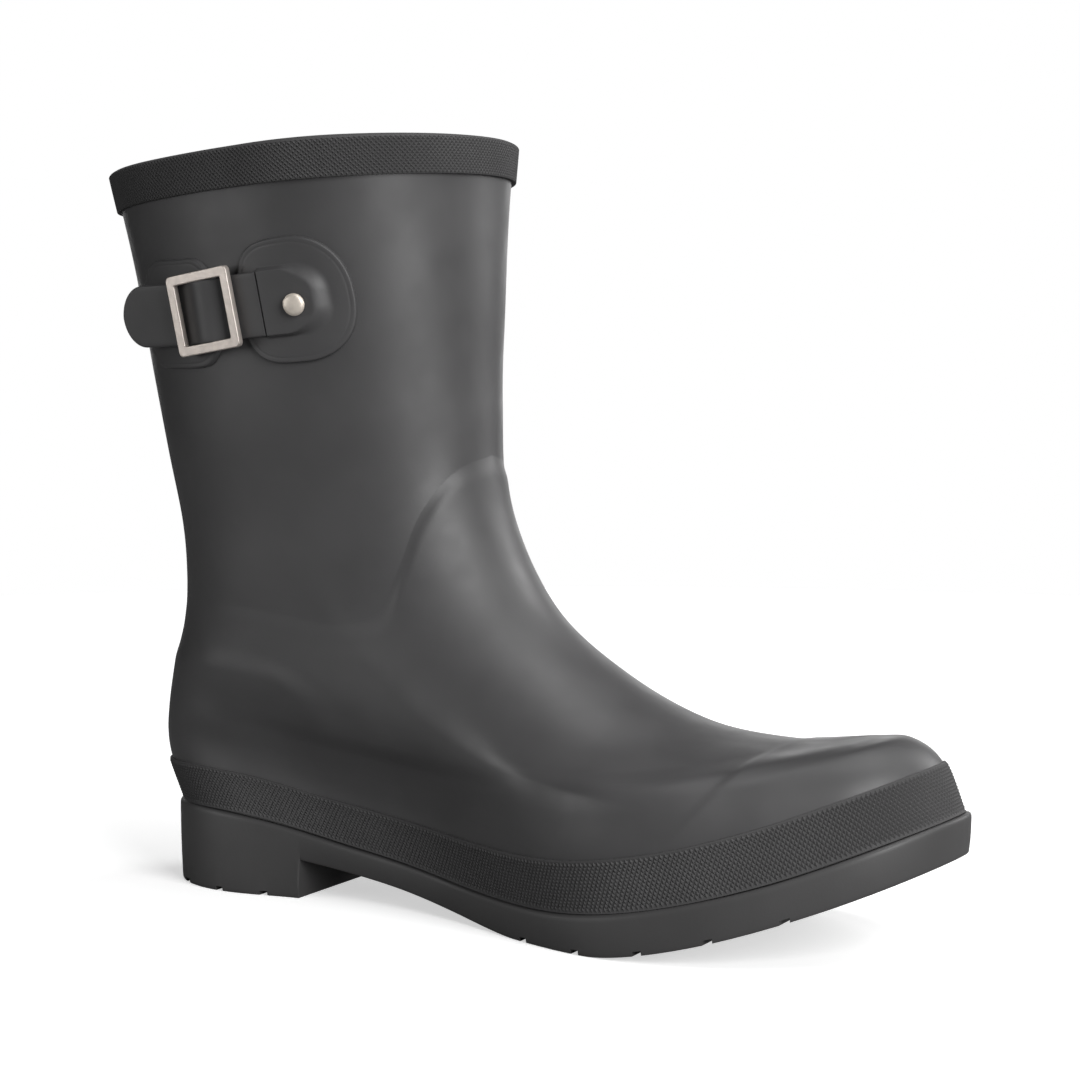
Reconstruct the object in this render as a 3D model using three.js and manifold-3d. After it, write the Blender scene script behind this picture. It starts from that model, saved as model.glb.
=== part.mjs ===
// Short rubber rain boot for the right foot, in millimetres, with +Z up.
// x runs from the heel to the toe, y from the buckle side (-) to the inner side (+), z up from the ground.
// Every wall is an offset of one closed foot-and-leg form, so the layers follow each other everywhere.
import * as THREE from 'three';
import { mergeVertices } from 'three/addons/utils/BufferGeometryUtils.js';
import Module from 'manifold-3d';

const wasm = await Module();
wasm.setup();

// ---- Driving dimensions ----

const footLength = 270; // heel to toe of the rubber foot, along its bottom edge
const ballWidth = 94; // across the ball of the foot
const bootHeight = 246; // ground to the front of the top edge
const ankleHeight = 110; // below this the form is a foot, above it a leg

const clearance = 0.3; // between two pieces that touch
const shellWall = 1.8;
const stiffenerWall = 1.2;
const liningWall = 1.0;
const overlayWall = 1.0;
const foxingWall = 1.2;
const bindingWall = 1.9;
const bindingHeight = 11.5;
const bindingLip = 1.3; // rubber above the top edge
const bindingRound = 1.4; // rounding of its two top edges

const heelLength = 57; // back of the rubber foot to the breast of the heel
const breastRun = 1.2; // slope of the breast
const soleProud = 1.4; // how far the sole stands out of the foxing at the toe
const proudStart = 120; // from here it comes out, over the next length
const proudRun = 120;
const soleRound = 1.3; // rounding of the sole's top edge
const soleDraft = 0.9; // narrowing of the sole at its bottom edge
const treadDepth = 1.5;
const treadGroove = 2.8;
const treadPitch = 21;
const treadStart = 165; // first groove under the ball
const heelGroovePitch = 16;
const boardThick = 1.8;
const footbedThick = 4.0;
const footbedDip = 1.2; // hollow along the middle of the footbed
const shankLength = 96;
const shankSetback = 5; // from the heel core to the shank
const shankWidth = 14;
const shankThick = 1.2;
const heelCoreWidth = 34;
const heelCoreBack = 6; // from the back of the rubber foot to the core
const heelCoreFront = 13; // from the core to the breast of the heel
const heelCoreFloor = 9; // rubber below the core

const patchWall = 1.3;
const strapWidth = 20;
const strapThick = 1.8;
const strapSlope = 0.105; // rise of the strap towards the front
const levelReach = 18; // behind the buckle's middle the strap turns level over this length
const levelRun = 14;
const strapPinch = 0.4; // by which the strap is wider than the window it is drawn through
const windowPlay = 0.6;
const buckleX = 56.3; // middle of the buckle along the leg
const buckleZ = 192.3;
const buckleLean = 2; // degrees the buckle has turned on the strap
const buckleLength = 26.4;
const buckleBar = 3.1;
const buckleThick = 2.2;
const buckleCorner = 2.2;
const windowCorner = 0.8;
const earWidth = 2.4; // lugs that hold the cross bar
const earInset = 0.8; // by which they are narrower than the frame's bar
const buckleBevel = 0.4;
const crossBarRadius = 0.9;
const barPlay = 0.8; // room for the buckle to rock over the strap
const crossBarLift = 1.1; // cross bar above the rear patch
const tailStart = 1; // from the back of the buckle to the end of the strap
const tailGap = 0.7; // between the strap and the root of its tail
const tailLength = 25;
const tailAngle = 13; // degrees between the free tail and the length of the boot
const rivetX = 87.7;
const rivetDrop = 1.2; // rivet below the middle of the strap
const rivetRadius = 4;
const rivetRise = 2.1;
const rivetRim = 0.6; // straight edge under the dome
const postRadius = 1.5;
const coverStart = 76.5; // where the strap goes under its cover
const coverFront = 99;
const coverRise = 2.4;
const coverLip = 0.6; // height of the cover at its front end
const coverRun = 9; // length over which it comes down to it
const coverOver = 0.4; // by which the cover is wider than the strap, on each side
const coverTaper = 3;
const taperStart = 7; // from the front end
const frontPatchSetback = 1.7; // middle of the patch behind the rivet
const frontPatchReach = 18.5;
const frontPatchHalf = 19.5;
const patchPowerBack = 0.62; // powers of the patch's rounded outline, behind and in front
const patchPowerFront = 0.85;
const rearPatchSetback = 16.3; // middle of the patch behind the buckle's
const rearPatchReach = 20;
const rearPatchHalf = 17.5;
const rearPatchCorner = 8;

// ---- The form of the foot and leg ----

const sampleLength = 270;
const sampleWidth = 94;
const sampleHeight = 246;
const backX = 15; // back of the rubber foot at its bottom edge

// Each row is one closed girth line, from the bottom edge of the upper to the top of the leg:
// back x, back z, front x, front z, half widths at heel, waist, ball and toe, and the lengths
// over which the back and the front are rounded.
const girths = [
  [15, 28, 285, 41.5, 33, 27, 47, 40, 41, 61],
  [9, 41.5, 279, 56, 31, 27, 49, 39, 41, 61],
  [7.5, 50, 271, 62, 30.5, 28.5, 49, 38, 41, 65],
  [8.5, 59, 262, 62, 32, 31, 48, 37.5, 42, 75],
  [10, 68, 238, 59, 33, 34.5, 45, 38, 44.5, 85],
  [12.2, 78, 208, 61.5, 34.3, 36, 42, 40, 46.6, 80],
  [14.7, 90, 177, 74.5, 35.5, 36.8, 40, 40, 49, 71.5],
  [16, 105, 150, 95, 37.5, 37.5, 40, 40, 52, 65],
  [15, 122, 133, 128, 39.6, 39.6, 40, 40, 55, 60],
  [10.8, 145, 129.4, 163, 43.7, 43.8, 44, 44, 57, 58],
  [5.5, 172, 129.4, 195, 46.7, 48.5, 48, 48, 60, 58],
  [-1, 205, 129.5, 225, 49.6, 53.8, 51, 51, 65, 57],
  [-9.5, 236.5, 130.2, 246, 52, 59, 54, 54, 72, 57.5],
];
// Where the half widths of a row apply, along the foot.
const widthStations = [30, 108, 198, 258];
// Height of the bottom edge of the upper along the foot, and the bend of its middle line.
const featherLine = [[0, 30.2], [45, 28.6], [95, 18.6], [145, 10.7], [190, 10.5], [240, 20.2], [290, 38.5]];
const middleLine = [[0, 0], [60, 7], [120, 3.5], [200, -2], [290, 3]];
const featherFade = 0.6; // share of the height over which the bottom edge's curve dies out
const middleFade = 0.75;
const archHollow = 5; // inner side drawn in at the waist
const archReach = 38; // along the foot, where it has faded by two thirds
const archTop = 0.5; // share of the height over which it dies out
// Underside of the sole in front of the heel.
const underside = [[60, 14.4], [100, 8.6], [132, 3.2], [156, 0.2], [176, 0], [192, 0]];
const springStart = 190;
const springRise = 22;
const springLength = 80;
const springPower = 1.5;

const gradeX = (x) => backX + (x - backX) * footLength / sampleLength;
const gradeY = (y) => y * ballWidth / sampleWidth;
const gradeZ = (z) => (z <= ankleHeight ? z
  : ankleHeight + (z - ankleHeight) * (bootHeight - ankleHeight) / (sampleHeight - ankleHeight));
const sections = girths.map((row) => row.map((value, k) => {
  if (k === 1 || k === 3) return gradeZ(value);
  if (k === 0 || k === 2) return gradeX(value);
  return k > 7 ? value * footLength / sampleLength : gradeY(value);
}));
const stationsX = widthStations.map(gradeX);
const gradeLine = (line, gradeValue) => line.map(([x, value]) => [gradeX(x), gradeValue(value)]);
const feather = gradeLine(featherLine, (z) => z);
const middle = gradeLine(middleLine, gradeY);
const under = gradeLine(underside, (z) => z);

const { lerp, clamp, degToRad } = THREE.MathUtils;

function ease(t) {
  const s = clamp(t, 0, 1);
  return s * s * (3 - 2 * s);
}

// Smooth line through points of rising x.
function lineAt(line, x) {
  const last = line.length - 1;
  const at = clamp(x, line[0][0], line[last][0]);
  let i = 0;
  while (i < last - 1 && at > line[i + 1][0]) i += 1;
  const slope = (k) => {
    const a = Math.max(k - 1, 0);
    const b = Math.min(k + 1, last);
    return (line[b][1] - line[a][1]) / (line[b][0] - line[a][0]);
  };
  const h = line[i + 1][0] - line[i][0];
  const t = (at - line[i][0]) / h;
  const s = 1 - t;
  return line[i][1] * (1 + 2 * t) * s * s + slope(i) * h * t * s * s
    + line[i + 1][1] * t * t * (3 - 2 * t) - slope(i + 1) * h * t * t * s;
}

// Catmull-Rom through the girth rows: v is 0 at the bottom edge and 1 at the top edge.
function sectionAt(v) {
  const last = sections.length - 1;
  const u = clamp(v, 0, 1) * last;
  const i = Math.min(Math.floor(u), last - 1);
  const w = u - i;
  return sections[0].map((_, k) => {
    const p1 = sections[i][k];
    const p2 = sections[i + 1][k];
    const p0 = i > 0 ? sections[i - 1][k] : 2 * p1 - p2;
    const p3 = i < last - 1 ? sections[i + 2][k] : 2 * p2 - p1;
    const v0 = (p2 - p0) / 2;
    const v1 = (p3 - p1) / 2;
    return (2 * p1 - 2 * p2 + v0 + v1) * w ** 3 + (3 * p2 - 3 * p1 - 2 * v0 - v1) * w ** 2 + v0 * w + p1;
  });
}

const roundedEnd = (t) => Math.sqrt(Math.max(0, 1 - (1 - clamp(t, 0, 1)) ** 2));
const bottomRow = sections[0];

// Height by which the curved bottom edge lies off a straight one.
function featherSag(share) {
  const x = lerp(bottomRow[0], bottomRow[2], share);
  const ends = lerp(lineAt(feather, bottomRow[0]), lineAt(feather, bottomRow[2]), share);
  return lineAt(feather, x) - ends;
}

function featherHeight(x) {
  const share = (x - bottomRow[0]) / (bottomRow[2] - bottomRow[0]);
  return lerp(bottomRow[1], bottomRow[3], share) + featherSag(share);
}

// Point of the form: phi is 0 at the front, pi at the back, and negative on the buckle side.
function formPoint(phi, v) {
  const [bx, bz, fx, fz, wHeel, wWaist, wBall, wToe, roundBack, roundFront] = sectionAt(v);
  const share = (1 + Math.cos(phi)) / 2;
  const x = lerp(bx, fx, share);
  const z = lerp(bz, fz, share) + (1 - ease(v / featherFade)) * featherSag(share);
  const [x0, x1, x2, x3] = stationsX;
  const inner = Math.sin(phi) >= 0;
  const arch = gradeY(archHollow) * Math.exp(-(((x - x1) / archReach) ** 2)) * (1 - ease(v / archTop));
  const hollow = inner ? arch : 0;
  const half = wHeel + (wWaist - wHeel) * ease((x - x0) / (x1 - x0))
    + (wBall - wWaist) * ease((x - x1) / (x2 - x1)) + (wToe - wBall) * ease((x - x2) / (x3 - x2)) - hollow;
  const width = half * roundedEnd((fx - x) / roundFront) * roundedEnd((x - bx) / roundBack);
  const y = lineAt(middle, x) * (1 - ease(v / middleFade)) + (inner ? width : -width);
  return new THREE.Vector3(x, y, z);
}

const nudge = 1e-3;

function upTangent(phi, v) {
  const above = formPoint(phi, Math.min(v + nudge, 1));
  return above.sub(formPoint(phi, Math.max(v - nudge, 0))).normalize();
}

function formNormal(phi, v) {
  const along = formPoint(phi + nudge, v).sub(formPoint(phi - nudge, v));
  return along.cross(upTangent(phi, v)).normalize();
}

// Point of the form moved level by a distance off its surface, at its own height or another.
function levelPoint(phi, v, offset, z) {
  const normal = formNormal(phi, v);
  const share = offset / (normal.x ** 2 + normal.y ** 2);
  const point = formPoint(phi, v);
  return new THREE.Vector3(point.x + normal.x * share, point.y + normal.y * share, z ?? point.z);
}

// Point at a distance outside the form, and a given rise beyond the top edge.
// At the bottom edge every layer ends on the same curved face, the seat of the sole.
function offsetPoint(phi, v, offset, rise = 0) {
  if (v === 0) {
    const end = levelPoint(phi, 0, offset);
    end.z = featherHeight(end.x);
    return end;
  }
  const point = formPoint(phi, v).addScaledVector(formNormal(phi, v), offset);
  return rise ? point.addScaledVector(upTangent(phi, v), rise) : point;
}

// ---- Bodies ----

function signedVolume(points, faces) {
  let sum = 0;
  for (const [a, b, c] of faces) {
    sum += points[a].dot(new THREE.Vector3().crossVectors(points[b], points[c]));
  }
  return sum / 6;
}

// Closed geometry from points and faces, turned so that its faces point out.
function closedBody(points, faces) {
  const outward = signedVolume(points, faces) > 0 ? faces : faces.map(([a, b, c]) => [a, c, b]);
  const geometry = new THREE.BufferGeometry();
  geometry.setAttribute('position', new THREE.Float32BufferAttribute(points.flatMap((p) => p.toArray()), 3));
  geometry.setIndex(outward.flat());
  return geometry;
}

// Wall between an outer and an inner grid of points; a ring closes on itself in its columns.
function wall({ rows, columns, outer, inner, ring = false }) {
  const points = [];
  const faces = [];
  const count = ring ? columns : columns + 1;
  for (const side of [outer, inner]) {
    for (let i = 0; i <= rows; i += 1) {
      for (let j = 0; j < count; j += 1) points.push(side(i, j));
    }
  }
  const at = (side, i, j) => side * (rows + 1) * count + i * count + (j % count);
  const quad = (a, b, c, d) => faces.push([a, b, c], [a, c, d]);
  for (let i = 0; i < rows; i += 1) {
    for (let j = 0; j < columns; j += 1) {
      quad(at(0, i, j), at(0, i, j + 1), at(0, i + 1, j + 1), at(0, i + 1, j));
      quad(at(1, i, j), at(1, i + 1, j), at(1, i + 1, j + 1), at(1, i, j + 1));
    }
  }
  for (let j = 0; j < columns; j += 1) {
    quad(at(1, 0, j), at(1, 0, j + 1), at(0, 0, j + 1), at(0, 0, j));
    quad(at(0, rows, j), at(0, rows, j + 1), at(1, rows, j + 1), at(1, rows, j));
  }
  for (let i = 0; i < rows && !ring; i += 1) {
    quad(at(0, i, 0), at(0, i + 1, 0), at(1, i + 1, 0), at(1, i, 0));
    quad(at(1, i, columns), at(1, i + 1, columns), at(0, i + 1, columns), at(0, i, columns));
  }
  return closedBody(points, faces);
}

// Ring whose closed profile is carried round the form.
function profileRing(profile, columns) {
  const points = [];
  const faces = [];
  const size = profile.length;
  for (let j = 0; j < columns; j += 1) {
    const phi = j * 2 * Math.PI / columns;
    for (const corner of profile) points.push(corner(phi));
  }
  for (let j = 0; j < columns; j += 1) {
    for (let k = 0; k < size; k += 1) {
      const a = j * size + k;
      const b = j * size + (k + 1) % size;
      const c = ((j + 1) % columns) * size + (k + 1) % size;
      const d = ((j + 1) % columns) * size + k;
      faces.push([a, b, d], [b, c, d]);
    }
  }
  return closedBody(points, faces);
}

// Plate with the outline of the foot: a stack of outlines, capped by strips from side to side.
function plate({ stations, outlines, across, crown = () => 0 }) {
  const points = [];
  const faces = [];
  const last = stations.length - 1;
  const ringSize = 2 * last;
  const edge = (level, k) => level * ringSize + k;
  for (const outline of outlines) {
    for (let k = 0; k <= last; k += 1) points.push(outline(stations[k]));
    for (let k = last - 1; k > 0; k -= 1) points.push(outline(-stations[k]));
  }
  for (let level = 0; level < outlines.length - 1; level += 1) {
    for (let k = 0; k < ringSize; k += 1) {
      const n = (k + 1) % ringSize;
      faces.push([edge(level, k), edge(level, n), edge(level + 1, n)]);
      faces.push([edge(level, k), edge(level + 1, n), edge(level + 1, k)]);
    }
  }
  const cap = (level, flip) => {
    const row = (k) => {
      if (k === 0 || k === last) return [edge(level, k)];
      const a = edge(level, k);
      const b = edge(level, ringSize - k);
      const line = [a];
      for (let m = 1; m < across; m += 1) {
        const t = m / across;
        const point = points[a].clone().lerp(points[b], t);
        point.z += crown(point.x, t, level);
        line.push(points.push(point) - 1);
      }
      line.push(b);
      return line;
    };
    let before = row(0);
    for (let k = 1; k <= last; k += 1) {
      const now = row(k);
      for (let m = 0; m < across; m += 1) {
        const a = before[Math.min(m, before.length - 1)];
        const b = before[Math.min(m + 1, before.length - 1)];
        const c = now[Math.min(m + 1, now.length - 1)];
        const d = now[Math.min(m, now.length - 1)];
        for (const face of [[a, b, c], [a, c, d]]) {
          if (new Set(face).size === 3) faces.push(flip ? face.reverse() : face);
        }
      }
      before = now;
    }
  };
  cap(0, false);
  cap(outlines.length - 1, true);
  return closedBody(points, faces);
}

function toSolid(geometry) {
  const bare = geometry.clone();
  bare.deleteAttribute('normal');
  bare.deleteAttribute('uv');
  const merged = mergeVertices(bare, 1e-4);
  return new wasm.Manifold(new wasm.Mesh({
    numProp: 3,
    vertProperties: new Float32Array(merged.attributes.position.array),
    triVerts: new Uint32Array(merged.index.array),
  }));
}

function fromSolid(solid) {
  const mesh = solid.getMesh();
  const geometry = new THREE.BufferGeometry();
  geometry.setAttribute('position', new THREE.BufferAttribute(new Float32Array(mesh.vertProperties), 3));
  geometry.setIndex(new THREE.BufferAttribute(new Uint32Array(mesh.triVerts), 1));
  return geometry;
}

function cut(geometry, ...tools) {
  let solid = toSolid(geometry);
  for (const tool of tools) solid = solid.subtract(toSolid(tool));
  return fromSolid(solid);
}

function join(geometry, ...others) {
  let solid = toSolid(geometry);
  for (const other of others) solid = solid.add(toSolid(other));
  return fromSolid(solid);
}

// ---- Grid lines that all layers share ----

const around = 40;
const formRows = girths.length - 1;
const phiAt = (j) => j * 2 * Math.PI / around;
const foxingTop = 1 / formRows;
const footRows = [0, 0.5, 1, 1.5, 2, 2.5, 3, 3.5, 4, 5, 6].map((row) => row / formRows);
const ankleRows = 4; // rows from the top foot row to the ankle edge
const legRows = 4; // rows from the ankle edge to the binding

// Height share of the ankle edge of the thick foot, round the boot.
const ankleEdge = [[0, 8.5], [0.4, 8.38], [0.7, 8.03], [0.95, 7.5], [1.2, 6.95], [1.45, 6.78],
  [2.1, 6.8], [2.6, 6.5], [Math.PI, 6.4]];
const turnOf = (phi) => Math.abs(Math.atan2(Math.sin(phi), Math.cos(phi)));
const ankleShare = (phi) => lineAt(ankleEdge, turnOf(phi)) / formRows;

const topGirth = sections[formRows];
const nextGirth = sections[formRows - 1];

function bindingBottom(phi) {
  const rise = lerp(topGirth[1] - nextGirth[1], topGirth[3] - nextGirth[3], (1 + Math.cos(phi)) / 2);
  return 1 - bindingHeight / (formRows * rise);
}

// Every layer has its rows at the same places, with one along the ankle edge and one under the binding.
function rowShare(i, phi) {
  const foot = footRows.length - 1;
  if (i <= foot) return footRows[i];
  const ankle = ankleShare(phi);
  if (i <= foot + ankleRows) return lerp(footRows[foot], ankle, (i - foot) / ankleRows);
  if (i > foot + ankleRows + legRows) return 1;
  return lerp(ankle, bindingBottom(phi), (i - foot - ankleRows) / legRows);
}

const stiffenerOuter = -(shellWall + clearance);
const stiffenerInner = stiffenerOuter - stiffenerWall;
const footLiningOuter = stiffenerInner - clearance;
const legLiningOuter = stiffenerOuter;
const liningTurn = 0.46; // height share where the lining closes up on the shell, above the stiffeners
const liningTurnRun = 0.14;
const liningOuter = (v) => lerp(footLiningOuter, legLiningOuter, ease((v - liningTurn) / liningTurnRun));
const footInside = footLiningOuter - liningWall - clearance;
const overlayOuter = clearance + overlayWall;
const foxingInner = overlayOuter + clearance;
const foxingOuter = foxingInner + foxingWall;

// ---- Pieces of the upper ----

function ringWall(rows, outer, inner) {
  const side = (offset) => (i, j) => {
    const v = rowShare(i, phiAt(j));
    return offsetPoint(phiAt(j), v, offset(v));
  };
  return wall({ rows, columns: around, ring: true, outer: side(outer), inner: side(inner) });
}

const footTopRow = footRows.length - 1 + ankleRows;
const topRow = footTopRow + legRows + 1;
const upperShell = () => ringWall(topRow, () => 0, () => -shellWall);
const lining = () => ringWall(topRow, liningOuter, (v) => liningOuter(v) - liningWall);
const footOverlay = () => ringWall(footTopRow, () => overlayOuter, () => clearance);
const foxingBand = () => ringWall(footRows.indexOf(foxingTop), () => foxingOuter, () => foxingInner);

function topBinding() {
  const outer = clearance + bindingWall;
  const inner = legLiningOuter - liningWall;
  const below = (offset) => (phi) => offsetPoint(phi, bindingBottom(phi), offset);
  const above = (offset, rise) => (phi) => offsetPoint(phi, 1, offset, rise);
  return profileRing([
    below(clearance),
    below(outer),
    above(outer, 0),
    above(outer - bindingRound * 0.35, clearance + bindingLip * 0.6),
    above(outer - bindingRound, clearance + bindingLip),
    above(inner + bindingRound, clearance + bindingLip),
    above(inner, clearance + bindingLip * 0.45),
    above(inner, clearance),
    above(clearance, clearance),
  ], around);
}

// Stiff layer between shell and lining, on both sides of a turn.
function stiffener(rows, centre, halfColumns) {
  const point = (offset) => (i, j) => offsetPoint(centre + phiAt(j - halfColumns), footRows[i], offset);
  return wall({ rows, columns: 2 * halfColumns, outer: point(stiffenerOuter), inner: point(stiffenerInner) });
}

const heelCounter = () => stiffener(9, Math.PI, 8);
const toePuff = () => stiffener(7, 0, 7);

// ---- Pieces of the bottom ----

const bottomStations = [];
for (let k = 0; k <= around / 2; k += 1) bottomStations.push(phiAt(k));
const turnAtX = (x) => Math.acos(clamp(2 * (x - bottomRow[0]) / (bottomRow[2] - bottomRow[0]) - 1, -1, 1));
const breastX = backX + heelLength;
const soleStations = bottomStations
  .filter((phi) => Math.abs(phi - turnAtX(breastX)) > 0.04)
  .concat([turnAtX(breastX), turnAtX(breastX - breastRun)])
  .sort((a, b) => a - b);

function soleBottom(x) {
  if (x < breastX - breastRun / 2) return 0;
  const rise = Math.max(0, x - gradeX(springStart)) / (springLength * footLength / sampleLength);
  return Math.max(0, lineAt(under, x)) + springRise * rise ** springPower;
}

const soleTop = (x) => featherHeight(x) - clearance;
const soleSide = (x) => foxingOuter + soleProud * ease((x - gradeX(proudStart)) / proudRun);

function outsole() {
  const edge = (share, inset) => (phi) => {
    const base = formPoint(phi, 0).x;
    const point = levelPoint(phi, 0, soleSide(base) - inset);
    const isHeel = base < breastX - breastRun / 2;
    point.z = lerp(isHeel ? 0 : soleBottom(point.x), soleTop(point.x), share);
    return point;
  };
  const body = plate({
    stations: soleStations,
    across: 6,
    outlines: [
      edge(0, soleDraft),
      edge(0.1, soleDraft / 4),
      edge(0.82, 0),
      edge(0.95, soleRound * 0.4),
      edge(1, soleRound),
    ],
  });
  const grooves = [];
  const groove = (x) => {
    const tool = new THREE.BoxGeometry(treadGroove, 2 * ballWidth, 2 * treadDepth);
    tool.translate(x, 0, soleBottom(x));
    grooves.push(tool);
  };
  for (let x = backX + heelGroovePitch; x < breastX - treadGroove * 2; x += heelGroovePitch) groove(x);
  for (let x = gradeX(treadStart); x < backX + footLength - treadGroove * 3; x += treadPitch) groove(x);
  const pocket = heelCoreBlock(clearance, featherHeight(backX) + 1);
  return cut(body, ...grooves, pocket, shankStrip(clearance));
}

const coreEnds = [backX + heelCoreBack, breastX - heelCoreFront];
const coreMiddleY = lineAt(middle, (coreEnds[0] + coreEnds[1]) / 2);

function heelCoreBlock(room, top) {
  const half = heelCoreWidth / 2 + room;
  const centre = coreEnds[0] + heelCoreWidth / 2;
  const front = coreEnds[1] + room;
  const shape = new THREE.Shape();
  shape.moveTo(centre, -half);
  shape.lineTo(front, -half);
  shape.lineTo(front, half);
  shape.lineTo(centre, half);
  shape.absarc(centre, 0, half, Math.PI / 2, 1.5 * Math.PI, false);
  const bottom = heelCoreFloor - room;
  const options = { depth: top - bottom, bevelEnabled: false, curveSegments: 8 };
  const block = new THREE.ExtrudeGeometry(shape, options);
  return block.translate(0, coreMiddleY, bottom);
}

const heelCore = () => heelCoreBlock(0, soleTop(coreEnds[1]) - clearance);

// Spring steel strip under the waist, lying in a channel of the sole.
function shankStrip(room) {
  const start = coreEnds[1] + shankSetback;
  const rows = 10;
  const half = shankWidth / 2 + room;
  const top = room ? 1 + clearance : 0; // the channel is open at its top
  const point = (lift) => (i, j) => {
    const x = lerp(start - room, start + shankLength + room, i / rows);
    const y = lineAt(middle, x) + (j === 0 ? -half : half);
    return new THREE.Vector3(x, y, soleTop(x) - clearance + lift);
  };
  return wall({ rows, columns: 1, outer: point(top), inner: point(-shankThick - room) });
}

// Plate that lies inside the lining, on the sole.
function insideOutline(rise) {
  return (phi) => {
    const v = foxingTop * rise / (formPoint(phi, foxingTop).z - formPoint(phi, 0).z);
    const point = levelPoint(phi, v, footInside);
    point.z = featherHeight(point.x) + rise;
    return point;
  };
}

const insoleBoard = () => plate({
  stations: bottomStations, across: 4, outlines: [insideOutline(0), insideOutline(boardThick)],
});

function footbed() {
  const bottom = boardThick + clearance;
  const top = bottom + footbedThick;
  return plate({
    stations: bottomStations,
    across: 6,
    outlines: [insideOutline(bottom), insideOutline(top)],
    crown: (x, t, level) => (level === 1 ? -footbedDip * Math.sin(Math.PI * t) : 0),
  });
}

// ---- Strap, buckle and rivet on the outer side of the leg ----

// Point at x and z on the buckle side of the leg, at a distance off its surface, with the normal there.
function legAt(x, z, offset = 0) {
  let low = 0.5;
  let high = 1;
  let phi = 0;
  for (let pass = 0; pass < 40; pass += 1) {
    const v = (low + high) / 2;
    const row = sectionAt(v);
    phi = -Math.acos(clamp(2 * (x - row[0]) / (row[2] - row[0]) - 1, -1, 1));
    if (formPoint(phi, v).z < z) low = v;
    else high = v;
  }
  const normal = formNormal(phi, low);
  return { point: formPoint(phi, low).addScaledVector(normal, offset), normal };
}

const buckleCentreX = gradeX(buckleX);
const levelShare = (x) => (x - buckleCentreX + levelReach) / levelRun;
const slopeAt = (x) => strapSlope * ease(levelShare(x));

// Height of the strap's middle line: the slope summed from the middle of the buckle.
function strapZ(x) {
  const summed = (share) => {
    const t = clamp(share, 0, 1);
    return t ** 3 - t ** 4 / 2 + Math.max(0, share - 1);
  };
  const rise = summed(levelShare(x)) - summed(levelShare(buckleCentreX));
  return gradeZ(buckleZ) + strapSlope * levelRun * rise;
}

const onStrap = (x, w, offset) => legAt(x - w * slopeAt(x), strapZ(x) + w, offset);
const strapPoint = (x, w, offset) => onStrap(x, w, offset).point;

// Frame of a fitting on the leg: first axis along the strap, second up the leg, third outwards.
function seat(x, w, offset) {
  const { point, normal } = onStrap(x, w, offset);
  const along = strapPoint(x + 0.5, w, offset).sub(strapPoint(x - 0.5, w, offset));
  along.addScaledVector(normal, -along.dot(normal)).normalize();
  const up = new THREE.Vector3().crossVectors(normal, along);
  return new THREE.Matrix4().makeBasis(along, up, normal).setPosition(point);
}

// Flexible band on the leg between two places along the strap.
function band({ from, to, rows, halfWidth, inner, outer, columns = 2 }) {
  const point = (offset) => (i, j) => {
    const x = lerp(from, to, i / rows);
    return strapPoint(x, (2 * j / columns - 1) * halfWidth(x), offset(x));
  };
  return wall({ rows, columns, outer: point(outer), inner: point(inner) });
}

const strapSeat = clearance + patchWall + clearance;
const crossBarCentre = strapSeat + crossBarLift + crossBarRadius;
const strapBump = crossBarLift + 2 * crossBarRadius + clearance;
const windowHalf = buckleLength / 2 - buckleBar;
const seamX = gradeX(coverStart);
const rivetCentreX = gradeX(rivetX);
const coverEnd = gradeX(coverFront);
const strapEnd = buckleCentreX - buckleLength / 2 - tailStart;
const buckleHeight = strapWidth + 2 * buckleBar - strapPinch;

const inWindow = (x, reach) => {
  const u = Math.abs(x - buckleCentreX) / reach;
  return u < 1 ? (1 + Math.cos(Math.PI * u)) / 2 : 0;
};
const overBar = (x) => strapBump * inWindow(x, windowHalf);
const drawnIn = strapPinch / 2 + windowPlay;
const strapHalf = (x) => strapWidth / 2 - drawnIn * Math.min(1, 2 * inWindow(x, buckleLength / 2));

const strap = () => band({
  from: strapEnd,
  to: seamX - clearance,
  rows: 30,
  halfWidth: strapHalf,
  inner: (x) => strapSeat + overBar(x),
  outer: (x) => strapSeat + overBar(x) + strapThick,
});

function strapCover() {
  const rise = (x) => lerp(coverRise, coverLip, ease((x - coverEnd + coverRun) / coverRun));
  const taper = (x) => coverTaper * ease((x - coverEnd + taperStart) / coverRun);
  const body = band({
    from: seamX,
    to: coverEnd,
    rows: 10,
    halfWidth: (x) => strapWidth / 2 + coverOver - taper(x),
    inner: () => strapSeat,
    outer: (x) => strapSeat + rise(x),
  });
  return cut(body, rivetHole());
}

function rivetHole() {
  const tool = new THREE.CylinderGeometry(postRadius + clearance, postRadius + clearance, 20, 20);
  return tool.rotateX(Math.PI / 2).applyMatrix4(seat(rivetCentreX, -rivetDrop, 0));
}

function frontPatch() {
  const centreX = rivetCentreX - frontPatchSetback;
  const outline = [];
  const count = 30;
  for (let k = 0; k < count; k += 1) {
    const turn = -k * 2 * Math.PI / count;
    const squareness = Math.cos(turn) < 0 ? patchPowerBack : patchPowerFront;
    const reach = (value) => Math.sign(value) * Math.abs(value) ** squareness;
    outline.push([frontPatchReach * reach(Math.cos(turn)), frontPatchHalf * reach(Math.sin(turn))]);
  }
  return cut(fillPatch(centreX, outline), rivetHole());
}

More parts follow.
